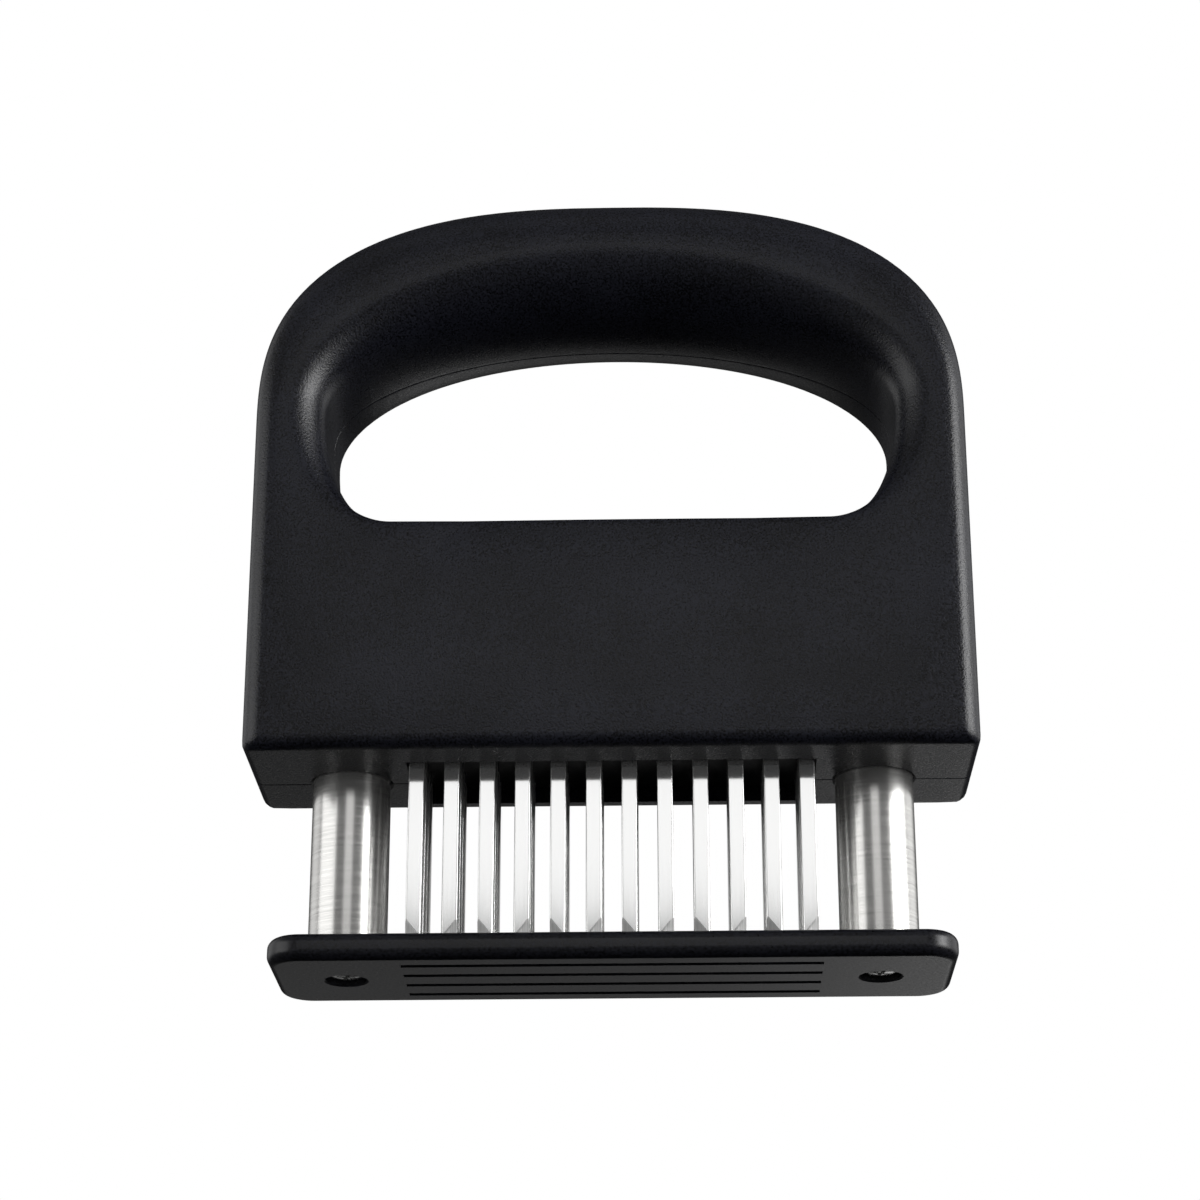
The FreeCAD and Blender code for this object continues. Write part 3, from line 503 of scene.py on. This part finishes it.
def make_plate():
    """Plate with rounded edges, four slots, a seat for each post and a recess for each screw."""
    half_x, half_y, top = plate_high.x, plate_high.y, plate_high.z
    turns = [math.radians(90 * n / ROUNDING_STEPS) for n in range(ROUNDING_STEPS + 1)]
    levels = [(PLATE_ROUNDING * (1 - math.sin(a)), PLATE_ROUNDING * (1 - math.cos(a))) for a in turns]
    rings = levels + [(inset, top - z) for inset, z in levels[::-1]]
    bm = bmesh.new()
    loops = []
    for inset, z in rings:
        outline = rounded_rectangle(half_x - inset, half_y - inset, PLATE_CORNER - inset)
        loops.append([bm.verts.new((x, y, z)) for x, y in outline])
    for a, b in zip(loops, loops[1:]):
        for n in range(len(a)):
            m = (n + 1) % len(a)
            bm.faces.new([a[n], a[m], b[m], b[n]])
    bm.faces.new(loops[0][::-1])
    bm.faces.new(loops[-1])
    plate = from_bmesh("foot_plate", bm)
    cutters = []
    for row in range(ROWS):
        y = (row - (ROWS - 1) / 2) * ROW_PITCH
        cutters.append(block("slot", (-FIELD_X - SLOT_END, y - SLOT_WIDTH / 2, -OVERCUT),
                             (FIELD_X + SLOT_END, y + SLOT_WIDTH / 2, top + OVERCUT)))
    seat, shank = POST_RADIUS + FIT, SCREW_SHANK + SLIDE_FIT
    well = [(0, -OVERCUT), (SCREW_RECESS + RECESS_EDGE + OVERCUT, -OVERCUT), (SCREW_RECESS, RECESS_EDGE),
            (SCREW_RECESS, SCREW_HEAD_TOP), (shank, SCREW_HEAD_TOP), (shank, post_low.z),
            (seat, post_low.z), (seat, top + OVERCUT), (0, top + OVERCUT)]
    for _, sign in SIDES:
        cutters.append(lathe("screw_well", well, centre=(sign * POST_X, 0)))
    combine(plate, join("plate_cutters", cutters), "DIFFERENCE")
    return shade(plate)


def make_post(side, sign):
    """Tube with its ends broken by a small chamfer."""
    inner, edge = POST_RADIUS - POST_WALL, POST_EDGE
    low, high = post_low.z, post_high.z
    profile = [(POST_RADIUS - edge, low), (POST_RADIUS, low + edge), (POST_RADIUS, high - edge),
               (POST_RADIUS - edge, high), (inner + edge, high), (inner, high - edge),
               (inner, low + edge), (inner + edge, low)]
    return shade(lathe(f"post_{side}", profile, segments=128, centre=(sign * POST_X, 0)))


DOME_RISE = 0.55 * MM         # of a screw's head, and how much of a quarter round its dome is
DOME_SHARE = 0.97
DOME_STEPS = 10
DOME_END = 0.75 * MM
SCREW_EDGE = 0.1 * MM
THREAD_PITCH = 0.5 * MM
THREAD_DEPTH = 0.28 * MM
THREAD_FLAT = 0.06 * MM       # of a crest and of a root
THREAD_START = 0.6 * MM       # plain shank between the head and the thread
THREAD_END = 0.4 * MM
SCREW_POINT = 0.3 * MM
CROSS_MOUTH = (1.65 * MM, 0.62 * MM)    # half length and width of a wing of the cross recess
CROSS_FLOOR = (0.7 * MM, 0.42 * MM)
CROSS_DEPTH = 1.1 * MM
CROSS_OVERCUT = 0.2 * MM
CROSS_TURN = 0.35             # radians


def make_screw(side, sign):
    """Pan head with a tapered cross recess, and a threaded shank."""
    x = sign * POST_X
    head, low, high = (screw_high.x - screw_low.x) / 2, screw_low.z, SCREW_HEAD_TOP
    profile = [(0, low)]
    for n in range(1, DOME_STEPS + 1):
        share = n / DOME_STEPS
        profile.append((head * share, low + DOME_RISE * (1 - math.sqrt(1 - (DOME_SHARE * share) ** 2))))
    profile += [(head, low + DOME_END), (head, high - SCREW_EDGE), (head - SCREW_EDGE, high),
                (SCREW_SHANK, high)]
    crest, root = SCREW_SHANK, SCREW_SHANK - THREAD_DEPTH
    z = high + THREAD_START
    while z + THREAD_PITCH < screw_high.z - THREAD_END:
        profile += [(crest, z), (crest, z + THREAD_FLAT), (root, z + THREAD_PITCH / 2),
                    (root, z + THREAD_PITCH / 2 + THREAD_FLAT)]
        z += THREAD_PITCH
    profile += [(crest - SCREW_POINT, screw_high.z), (0, screw_high.z)]
    screw = lathe(f"screw_{side}", profile, segments=64, centre=(x, 0))
    wings = []
    for turn in (0, math.pi / 2):
        bm = bmesh.new()
        bmesh.ops.create_cube(bm, size=1)
        for vertex in bm.verts:
            deep = vertex.co.z > 0
            long, wide = CROSS_FLOOR if deep else CROSS_MOUTH
            z = low + CROSS_DEPTH if deep else low - CROSS_OVERCUT
            vertex.co = (2 * vertex.co.x * long, vertex.co.y * wide, z)
        wing = from_bmesh("wing", bm)
        wing.data.transform(Matrix.Translation((x, 0, 0)) @ Matrix.Rotation(turn + CROSS_TURN, 4, "Z"))
        wings.append(wing)
    cross = combine(wings[0], wings[1], "UNION")
    combine(screw, cross, "DIFFERENCE")
    return shade(screw, sharp_degrees=25)


SPRING_WIRE = 1.0 * MM
SPRING_TURNS = 14
CLOSED_TURNS = 1.5
CLOSED_PITCH = 1.02      # of the closed turns, in diameters of the wire
OPENING_TURNS = 0.6      # over which the pitch opens
RINGS_PER_TURN = 40
WIRE_SIDES = 14


def make_spring(side, sign):
    """Coil spring with closed ends."""
    centre_radius = (spring_high.x - spring_low.x) / 2 - SPRING_WIRE / 2
    low, high = spring_low.z + SPRING_WIRE / 2, spring_high.z - SPRING_WIRE / 2
    closed_rise = SPRING_WIRE * CLOSED_PITCH
    open_rise = ((high - low - 2 * CLOSED_TURNS * SPRING_WIRE * CLOSED_PITCH)
                 / (SPRING_TURNS - 2 * CLOSED_TURNS))
    heights = [low]
    for n in range(SPRING_TURNS * RINGS_PER_TURN):
        turn = (n + 0.5) / RINGS_PER_TURN
        edge = min(turn, SPRING_TURNS - turn) - CLOSED_TURNS
        blend = min(max(edge / OPENING_TURNS + 0.5, 0), 1)
        blend = blend * blend * (3 - 2 * blend)
        heights.append(heights[-1] + (closed_rise * (1 - blend) + open_rise * blend) / RINGS_PER_TURN)
    stretch = (high - low) / (heights[-1] - low)
    bm = bmesh.new()
    loops = []
    for n, z in enumerate(heights):
        turn = 2 * math.pi * n / RINGS_PER_TURN
        out = Vector((math.cos(turn), math.sin(turn), 0))
        middle = out * centre_radius + Vector((sign * POST_X, 0, low + (z - low) * stretch))
        loops.append([bm.verts.new(middle + (out * math.cos(a) + Vector((0, 0, 1)) * math.sin(a))
                                   * (SPRING_WIRE / 2))
                      for a in (2 * math.pi * k / WIRE_SIDES for k in range(WIRE_SIDES))])
    for a, b in zip(loops, loops[1:]):
        for k in range(WIRE_SIDES):
            m = (k + 1) % WIRE_SIDES
            bm.faces.new([a[k], a[m], b[m], b[k]])
    bm.faces.new(loops[0])
    bm.faces.new(loops[-1])
    return shade(from_bmesh(f"spring_{side}", bm), sharp_degrees=50)


# ---------------------------------------------------------------- blades

BLADE_WIDTH = 2.3 * MM
TIP_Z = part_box("twin_blade_row1_pair1")[0].z
BLADE_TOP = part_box("twin_blade_row1_pair1")[1].z
TIP_RISE = 2.8 * MM
BRIDGE_HEIGHT = 3 * MM
GRIND_LENGTH = 1.65 * MM
TIP_EDGE = 0.12 * MM
BLADE_ROUND = 0.22 * MM    # of the strip's long edges
LONG_EDGE = 20 * MM          # an edge that rises more than this runs along a leg or an end
BLADE_BEVEL = 0.04 * MM
KEEN_ANGLE = math.radians(35)    # an edge that turns more than this is broken
GROUND_AREA = 1 * MM ** 2    # a ground facet is larger than this, a broken edge near it smaller
GRIND_ZONE = 8 * MM          # above the tips, past which nothing is ground
HAIR = 1e-5                  # mm, under which a point counts as on the ground plane
GROUND, SHEARED_SHADED = 1, 2       # a blade's materials after the polished one


def blade_mesh():
    """One strip with two legs, both tips cut aslant and ground on the front face, edges broken."""
    inner, outer = (BLADE_PITCH - BLADE_WIDTH) / 2, (BLADE_PITCH + BLADE_WIDTH) / 2
    bridge = BLADE_TOP - BRIDGE_HEIGHT
    outline = [(-outer, TIP_Z + TIP_RISE), (-inner, TIP_Z), (-inner, bridge), (inner, bridge),
               (inner, TIP_Z), (outer, TIP_Z + TIP_RISE), (outer, BLADE_TOP), (-outer, BLADE_TOP)]
    half = BLADE_THICKNESS / 2
    bm = bmesh.new()
    front = [bm.verts.new((x / MM, -half / MM, z / MM)) for x, z in outline]
    rear = [bm.verts.new((x / MM, half / MM, z / MM)) for x, z in outline]
    count = len(outline)
    bm.faces.new(front)
    bm.faces.new(rear[::-1])
    for n in range(count):
        m = (n + 1) % count
        bm.faces.new([front[m], front[n], rear[n], rear[m]])
    bmesh.ops.recalc_face_normals(bm, faces=bm.faces[:])
    for sign in (-1, 1):
        low = Vector((sign * inner, 0, TIP_Z)) / MM
        high = Vector((sign * outer, 0, TIP_Z + TIP_RISE)) / MM
        along = (high - low).normalized()
        away = Vector((0, 1, 0)).cross(along)
        if away.z < 0:
            away = -away
        deep, long = (BLADE_THICKNESS - TIP_EDGE) / MM, GRIND_LENGTH / MM
        start = low + Vector((0, -half / MM + deep, 0))
        slope = (away * long + Vector((0, -deep, 0))).normalized()
        normal = along.cross(slope)
        if normal.y > 0:
            normal = -normal
        reach = bm.verts[:] + bm.edges[:] + bm.faces[:]
        bmesh.ops.bisect_plane(bm, geom=reach, dist=1e-6, plane_co=start, plane_no=normal)
        doomed = []
        for face in bm.faces:
            middle = face.calc_center_median()
            near_tip = middle.x * sign > 0 and middle.z < (TIP_Z + GRIND_ZONE) / MM
            if near_tip and (middle - start).dot(normal) > HAIR:
                doomed.append(face)
        bmesh.ops.delete(bm, geom=doomed, context="FACES")
        open_edges = [e for e in bm.edges if len(e.link_faces) == 1]
        bmesh.ops.contextual_create(bm, geom=open_edges)
        loose = [v for v in bm.verts if not v.link_faces]
        bmesh.ops.delete(bm, geom=loose, context="VERTS")
    bmesh.ops.dissolve_limit(bm, angle_limit=math.radians(1), verts=bm.verts[:], edges=bm.edges[:])
    long_edges = [e for e in bm.edges if abs(e.verts[0].co.z - e.verts[1].co.z) > LONG_EDGE / MM]
    bmesh.ops.bevel(bm, geom=long_edges, offset=BLADE_ROUND / MM, segments=5, profile=0.5, affect="EDGES")
    keen = [e for e in bm.edges if len(e.link_faces) == 2 and e.calc_face_angle() > KEEN_ANGLE]
    bmesh.ops.bevel(bm, geom=keen, offset=BLADE_BEVEL / MM, segments=2, profile=0.5, affect="EDGES")
    bmesh.ops.scale(bm, vec=(MM, MM, MM), verts=bm.verts[:])
    bmesh.ops.recalc_face_normals(bm, faces=bm.faces[:])
    # Large slanted facets at the tips get the ground steel. Sides that face the next blade get the sheared
    # steel, which is a rough sheared finish with a darker colour that is partly painted shade between the
    # close-set blades.
    for face in bm.faces:
        slanted = 0.2 < -face.normal.y < 0.97 and abs(face.normal.z) > 0.1
        if slanted and face.calc_area() > GROUND_AREA:
            face.material_index = GROUND
        elif abs(face.normal.x) > 0.99:
            face.material_index = SHEARED_SHADED
    mesh = bpy.data.meshes.new("twin_blade")
    bm.to_mesh(mesh)
    bm.free()
    return mesh


def make_blades(polished, ground, sheared_and_shaded):
    """The twin blades in rows, all with one mesh."""
    master = shade(new_object("blade_master", blade_mesh()), sharp_degrees=30)
    for material in (polished, ground, sheared_and_shaded):
        master.data.materials.append(material)
    mesh = master.data
    bpy.data.objects.remove(master)
    for row in range(ROWS):
        y = (row - (ROWS - 1) / 2) * ROW_PITCH
        for pair in range(PAIRS):
            x = (pair - (PAIRS - 1) / 2) * 2 * BLADE_PITCH
            blade = new_object(f"blade_row{row + 1}_pair{pair + 1}", mesh)
            blade.location = (x, y, 0)
            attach(blade, "head")
            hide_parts(f"twin_blade_row{row + 1}_pair{pair + 1}")


# ---------------------------------------------------------------- materials

RANGE_SOCKETS = ("From Min", "From Max", "To Min", "To Max")


class Nodes:
    """Short calls for a material's nodes."""

    def __init__(self, name):
        self.material = bpy.data.materials.new(name)
        self.material.use_nodes = True
        self.tree = self.material.node_tree
        self.shader = self.tree.nodes["Principled BSDF"]
        self.place = self.add("ShaderNodeTexCoord").outputs["Object"]

    def add(self, kind, **settings):
        node = self.tree.nodes.new(kind)
        for key, value in settings.items():
            setattr(node, key, value)
        return node

    def link(self, source, target):
        self.tree.links.new(source, target)

    def set(self, **values):
        for key, value in values.items():
            self.shader.inputs[key.replace("_", " ")].default_value = value

    def scaled(self, scale):
        node = self.add("ShaderNodeMapping")
        node.inputs["Scale"].default_value = scale
        self.link(self.place, node.inputs["Vector"])
        return node.outputs["Vector"]

    def noise(self, scale, detail=2.0, roughness=0.5, vector=None):
        node = self.add("ShaderNodeTexNoise")
        node.inputs["Scale"].default_value = scale
        node.inputs["Detail"].default_value = detail
        node.inputs["Roughness"].default_value = roughness
        self.link(vector or self.place, node.inputs["Vector"])
        return node.outputs["Fac"]

    def spread(self, source, low, high, to_low, to_high):
        node = self.add("ShaderNodeMapRange")
        for key, value in zip(RANGE_SOCKETS, (low, high, to_low, to_high)):
            node.inputs[key].default_value = value
        self.link(source, node.inputs["Value"])
        return node.outputs["Result"]

    def math(self, operation, a, b):
        node = self.add("ShaderNodeMath", operation=operation)
        for socket, value in zip(node.inputs, (a, b)):
            if isinstance(value, (int, float)):
                socket.default_value = value
            else:
                self.link(value, socket)
        return node.outputs["Value"]

    def ramp(self, source, stops):
        node = self.add("ShaderNodeValToRGB")
        ramp = node.color_ramp
        while len(ramp.elements) < len(stops):
            ramp.elements.new(0.5)
        for element, (position, colour) in zip(ramp.elements, stops):
            element.position = position
            element.color = (*colour, 1)
        self.link(source, node.inputs["Fac"])
        return node.outputs["Color"]

    def bump(self, height, distance):
        node = self.add("ShaderNodeBump")
        node.inputs["Strength"].default_value = 1.0
        node.inputs["Distance"].default_value = distance
        self.link(height, node.inputs["Height"])
        return node.outputs["Normal"]


# Depths of grain, streaks and marks are in metres. Their scales are per metre.
GRAIN_SHARE = 0.75       # of the plastic's colour pattern, and the rest is blotches
BLOTCH_SCALE = 60
STEEL_METALLIC = 0.86    # under 1, so that steel isn't black where it reflects the dim room
MARK_SCALE = 900
MARK_DEPTH = 0.000002
MARK_SHADE = 0.9


def textured_plastic(name, dark, pale, rough, grain_depth, grain_scale=2500):
    """Black moulded plastic with a fine spark-eroded grain and faint blotches."""
    n = Nodes(name)
    grain = n.noise(grain_scale, detail=2, roughness=0.6)
    blotch = n.noise(BLOTCH_SCALE, detail=3)
    speckle = n.math("ADD", n.math("MULTIPLY", grain, GRAIN_SHARE),
                     n.math("MULTIPLY", blotch, 1 - GRAIN_SHARE))
    n.link(n.ramp(speckle, [(0.42, dark), (0.6, pale)]), n.shader.inputs["Base Color"])
    n.link(n.spread(grain, 0.3, 0.7, rough - 0.05, rough + 0.05), n.shader.inputs["Roughness"])
    n.link(n.bump(grain, grain_depth), n.shader.inputs["Normal"])
    n.set(Specular_IOR_Level=0.5)
    return n.material


def brushed_steel(name, colour, rough, streak_depth, stretch, streaks, contrast):
    """Stainless steel with fine lines. Stretch is how much the lines are drawn out along each axis."""
    n = Nodes(name)
    lines = n.noise(streaks, detail=3, roughness=0.65, vector=n.scaled(tuple(1 / s for s in stretch)))
    n.link(n.spread(lines, 0.25, 0.75, rough * 0.8, rough * 1.25), n.shader.inputs["Roughness"])
    darker = tuple((1 - contrast) * c for c in colour)
    n.link(n.ramp(lines, [(0.3, darker), (0.65, colour)]), n.shader.inputs["Base Color"])
    n.link(n.bump(lines, streak_depth), n.shader.inputs["Normal"])
    n.set(Metallic=STEEL_METALLIC)
    return n.material


def plain_metal(name, colour, rough):
    """Turned, drawn or plated metal with faint marks."""
    n = Nodes(name)
    marks = n.noise(MARK_SCALE, detail=3, roughness=0.6)
    marked = tuple(MARK_SHADE * c for c in colour)
    n.link(n.spread(marks, 0.3, 0.7, rough - 0.05, rough + 0.08), n.shader.inputs["Roughness"])
    n.link(n.ramp(marks, [(0.3, marked), (0.7, colour)]), n.shader.inputs["Base Color"])
    n.link(n.bump(marks, MARK_DEPTH), n.shader.inputs["Normal"])
    n.set(Metallic=1.0)
    return n.material


# ---------------------------------------------------------------- camera, stage and light

CAMERA_AT = (9.060 * MM, -434.112 * MM, -116.909 * MM)
CAMERA_TURN = math.radians(1.440)
CAMERA_RISE = math.radians(22.171)
CAMERA_ROLL = math.radians(-0.082)
CAMERA_LENS = 91.27
CAMERA_SENSOR = 36
CAMERA_NEAR = 10 * MM


def make_camera():
    data = bpy.data.cameras.new("camera")
    data.sensor_width = CAMERA_SENSOR
    data.lens = CAMERA_LENS
    data.clip_start = CAMERA_NEAR
    camera = new_object("camera", data)
    camera.matrix_world = (Matrix.Translation(CAMERA_AT) @ Matrix.Rotation(CAMERA_TURN, 4, "Z")
                           @ Matrix.Rotation(math.pi / 2 + CAMERA_RISE, 4, "X")
                           @ Matrix.Rotation(CAMERA_ROLL, 4, "Z"))
    bpy.context.scene.camera = camera


FLOOR_REACH = 0.6        # the floor fades out into the white background from half of this to this
FLOOR_Z = -0.2 * MM
FLOOR_TONE = 0.88


def make_floor():
    """Pale floor just under the plate. Only the camera sees it, and only from above: it is clear to
    every other ray, and from below."""
    bm = bmesh.new()
    bmesh.ops.create_grid(bm, x_segments=1, y_segments=1, size=FLOOR_REACH)
    for vertex in bm.verts:
        vertex.co.z = FLOOR_Z
    floor = from_bmesh("floor", bm)
    n = Nodes("floor")
    n.set(Base_Color=(FLOOR_TONE, FLOOR_TONE, FLOOR_TONE, 1), Roughness=0.9)
    distance = n.add("ShaderNodeVectorMath", operation="LENGTH")
    n.link(n.place, distance.inputs[0])
    near = n.spread(distance.outputs["Value"], FLOOR_REACH / 2, FLOOR_REACH, 1, 0)
    front = n.math("SUBTRACT", 1.0, n.add("ShaderNodeNewGeometry").outputs["Backfacing"])
    seen = n.math("MULTIPLY", n.add("ShaderNodeLightPath").outputs["Is Camera Ray"], front)
    mix = n.add("ShaderNodeMixShader")
    n.link(n.math("MULTIPLY", seen, near), mix.inputs["Fac"])
    n.link(n.add("ShaderNodeBsdfTransparent").outputs["BSDF"], mix.inputs[1])
    n.link(n.shader.outputs["BSDF"], mix.inputs[2])
    n.link(mix.outputs["Shader"], n.tree.nodes["Material Output"].inputs["Surface"])
    floor.data.materials.append(n.material)


# strength of the world's soft light, from straight below and from straight above
DIFFUSE_BELOW = 0.1
DIFFUSE_ABOVE = 0.8
# strength of what gloss sees
ROOM_BELOW = 0.02        # the room in front of the object, low down
ROOM_ABOVE = 0.14        # and higher up
NEAR_FLOOR = 0.1         # the floor just in front of the object
FOOT_GLOW = 0.6          # the foot of the backdrop behind it
FOOT_LEFT = 0.58         # share of that glow on the left
FOOT_RIGHT = 1.75        # and on the right
FOOT_MIDDLE = 0.41       # strength in the middle of the foot
BACKDROP = 0.03          # the backdrop above its foot
WINGS_BELOW = 0.04       # the side walls, low down
WINGS_ABOVE = 0.95       # and higher up
WINGS_TILT = (0.9, 1.1)  # the left wall is a little dimmer than the right one
# bands over which one strength gives way to the next, as Z, X or Y of the direction looked in
WHOLE = (-1, 1)
FLOOR_STARTS_Z = (-0.7, -0.55)
FLOOR_ENDS_Z = (-0.42, -0.34)
ROOM_RISES_Z = (-0.28, -0.05)
FOOT_STARTS_Z = (-0.45, -0.15)
MIDDLE_STARTS_Z = (-0.33, -0.2)
FOOT_ENDS_Z = (-0.22, 0)
WINGS_RISE_Z = (-0.25, 0.15)
LEFT_WING_X = (-0.8, -0.5)
BACKDROP_LEFT_X = (-0.32, -0.18)
FOOT_LEFT_X = (-0.12, -0.06)
FOOT_RIGHT_X = (0.01, 0.11)
BACKDROP_RIGHT_X = (0.16, 0.3)
RIGHT_WING_X = (0.5, 0.8)
FRONT_TO_BACK_Y = (-0.1, 0.3)


def make_world():
    """White where the camera looks past the object. Gloss sees a dim room in front, with a strip of
    floor, and behind it a dark backdrop with a glowing foot between pale side walls. What is matt gets
    soft light that is stronger from above."""
    world = bpy.data.worlds.new("world")
    bpy.context.scene.world = world
    world.use_nodes = True
    tree = world.node_tree
    nodes, links = tree.nodes, tree.links
    way = nodes.new("ShaderNodeTexCoord")
    split = nodes.new("ShaderNodeSeparateXYZ")
    links.new(way.outputs["Generated"], split.inputs["Vector"])

    def put(value, socket):
        if isinstance(value, (int, float)):
            socket.default_value = value
        else:
            links.new(value, socket)

    def between(axis, band, low, high):
        """Goes from low to high as the direction's X, Y or Z goes through the band."""
        node = nodes.new("ShaderNodeMapRange")
        node.interpolation_type = "SMOOTHSTEP"
        links.new(split.outputs[axis], node.inputs["Value"])
        for key, value in zip(RANGE_SOCKETS, (*band, low, high)):
            put(value, node.inputs[key])
        return node.outputs["Result"]

    def background(strength):
        node = nodes.new("ShaderNodeBackground")
        node.inputs["Color"].default_value = (1, 1, 1, 1)
        put(strength, node.inputs["Strength"])
        return node.outputs["Background"]

    def choose(test, no, yes):
        node = nodes.new("ShaderNodeMixShader")
        links.new(test, node.inputs["Fac"])
        links.new(no, node.inputs[1])
        links.new(yes, node.inputs[2])
        return node.outputs["Shader"]

    def maths(operation, a, b):
        node = nodes.new("ShaderNodeMath")
        node.operation = operation
        put(a, node.inputs[0])
        put(b, node.inputs[1])
        return node.outputs["Value"]

    floor = between("Z", FLOOR_STARTS_Z, ROOM_BELOW, NEAR_FLOOR)
    low_room = between("Z", FLOOR_ENDS_Z, floor, ROOM_BELOW)
    room = between("Z", ROOM_RISES_Z, low_room, ROOM_ABOVE)
    glow = between("Z", FOOT_STARTS_Z, 0, FOOT_GLOW)
    middle = between("Z", MIDDLE_STARTS_Z, 0, FOOT_MIDDLE)
    right_foot = between("X", FOOT_RIGHT_X, middle, maths("MULTIPLY", glow, FOOT_RIGHT))
    foot = between("X", FOOT_LEFT_X, maths("MULTIPLY", glow, FOOT_LEFT), right_foot)
    centre = between("Z", FOOT_ENDS_Z, foot, BACKDROP)
    right_back = between("X", BACKDROP_RIGHT_X, centre, BACKDROP)
    backdrop = between("X", BACKDROP_LEFT_X, BACKDROP, right_back)
    rise = between("Z", WINGS_RISE_Z, WINGS_BELOW, WINGS_ABOVE)
    wings = maths("MULTIPLY", rise, between("X", WHOLE, *WINGS_TILT))
    left_back = between("X", LEFT_WING_X, wings, backdrop)
    behind = between("X", RIGHT_WING_X, left_back, wings)
    soft = background(between("Z", WHOLE, DIFFUSE_BELOW, DIFFUSE_ABOVE))
    gloss = background(between("Y", FRONT_TO_BACK_Y, room, behind))
    path = nodes.new("ShaderNodeLightPath")
    shiny = maths("MAXIMUM", path.outputs["Is Glossy Ray"], path.outputs["Is Transmission Ray"])
    seen = choose(path.outputs["Is Camera Ray"], choose(shiny, soft, gloss), background(1.0))
    nodes.remove(nodes["Background"])
    links.new(seen, nodes["World Output"].inputs["Surface"])


LAMP_DISTANCE = 1.0
LAMP_AIM = Vector((0, 0, 70 * MM))


def softbox(name, azimuth, elevation, wide, tall, radiance, roll=0):
    """Rectangular lamp, placed and sized by the angles at which the object sees it, in degrees.
    Azimuth 0 is straight in front and grows towards +X."""
    azimuth, elevation = math.radians(azimuth), math.radians(elevation)
    out = Vector((math.sin(azimuth) * math.cos(elevation), -math.cos(azimuth) * math.cos(elevation),
                  math.sin(elevation)))
    data = bpy.data.lights.new(name, "AREA")
    data.shape = "RECTANGLE"
    data.size = 2 * LAMP_DISTANCE * math.tan(math.radians(wide) / 2)
    data.size_y = 2 * LAMP_DISTANCE * math.tan(math.radians(tall) / 2)
    data.energy = radiance * math.pi * data.size * data.size_y
    lamp = new_object(name, data)
    lamp.location = LAMP_AIM + LAMP_DISTANCE * out
    lamp.rotation_mode = "QUATERNION"
    lamp.rotation_quaternion = out.to_track_quat("Z", "Y") @ Quaternion((0, 0, 1), math.radians(roll))


def make_lights():
    softbox("front", azimuth=-1, elevation=16.8, wide=22, tall=11, radiance=1.04)
    softbox("right", azimuth=67, elevation=10, wide=50, tall=44, radiance=2.0, roll=5)
    softbox("right_core", azimuth=62, elevation=14, wide=26, tall=28, radiance=5.4)
    softbox("left", azimuth=-65, elevation=9, wide=48, tall=34, radiance=1.4, roll=-10)


# ---------------------------------------------------------------- build

bpy.context.scene.view_settings.view_transform = "Standard"
make_camera()
make_floor()
make_world()
make_lights()

handle_plastic = textured_plastic("handle_plastic", dark=(0, 0, 0.001), pale=(0.0105, 0.0115, 0.0185),
                                  rough=0.3, grain_depth=0.00006, grain_scale=3400)
base_plastic = textured_plastic("base_plastic", dark=(0.001, 0.001, 0.002), pale=(0.007, 0.0074, 0.0115),
                                rough=0.32, grain_depth=0.000008)
carrier_plastic = textured_plastic("carrier_plastic", dark=(0.002, 0.002, 0.003),
                                   pale=(0.006, 0.006, 0.008), rough=0.5, grain_depth=0.00001)
post_steel = brushed_steel("post_steel", colour=(0.77, 0.762, 0.742), rough=0.22, streak_depth=0.0000016,
                           stretch=(40, 40, 1), streaks=5000, contrast=0.26)
blade_steel = brushed_steel("blade_steel", colour=(0.86, 0.86, 0.855), rough=0.09,
                            streak_depth=0.00000005, stretch=(1, 1, 60), streaks=3000, contrast=0.03)
ground_steel = brushed_steel("ground_steel", colour=(0.8, 0.8, 0.79), rough=0.38, streak_depth=0.00001,
                             stretch=(1, 40, 40), streaks=5000, contrast=0.3)
# blade sides: a rough sheared finish with streaks, and a darker colour that is partly painted shade where
# the blades stand close
sheared_steel_painted_shade = brushed_steel("sheared_steel_painted_shade", colour=(0.62, 0.62, 0.61), rough=0.36,
                              streak_depth=0.000004, stretch=(1, 1, 60), streaks=6000, contrast=0.5)
collar_steel = plain_metal("collar_steel", colour=(0.5, 0.5, 0.49), rough=0.35)
plug_aluminium = plain_metal("plug_aluminium", colour=(0.72, 0.72, 0.74), rough=0.32)
screw_steel = plain_metal("screw_steel", colour=(0.8, 0.8, 0.79), rough=0.18)
spring_steel = plain_metal("spring_steel", colour=(0.5, 0.5, 0.5), rough=0.25)

dress(make_shell("handle_front", -1), "head", handle_plastic, "front_shell")
dress(make_shell("handle_rear", 1), "head", handle_plastic, "rear_shell")
dress(make_plate(), "foot", base_plastic, "base_plate")
for side, sign in SIDES:
    dress(make_post(side, sign), "foot", post_steel, f"guide_post_{side}")
    dress(make_screw(side, sign), "foot", screw_steel, f"base_screw_{side}")
    spring = dress(make_spring(side, sign), "foot", spring_steel, f"return_spring_{side}")
    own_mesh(spring)
make_blades(blade_steel, ground_steel, sheared_steel_painted_shade)

# The pieces inside keep the part's own shapes.
finishes = {"blade_carrier": carrier_plastic,
            "blade_clamp_plate": carrier_plastic,
            "clamp_screws": screw_steel}
for side, sign in SIDES:
    finishes[f"stop_collar_{side}"] = collar_steel
    finishes[f"post_plug_{side}"] = plug_aluminium
for node, material in finishes.items():
    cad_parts[node].data.materials.clear()
    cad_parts[node].data.materials.append(material)
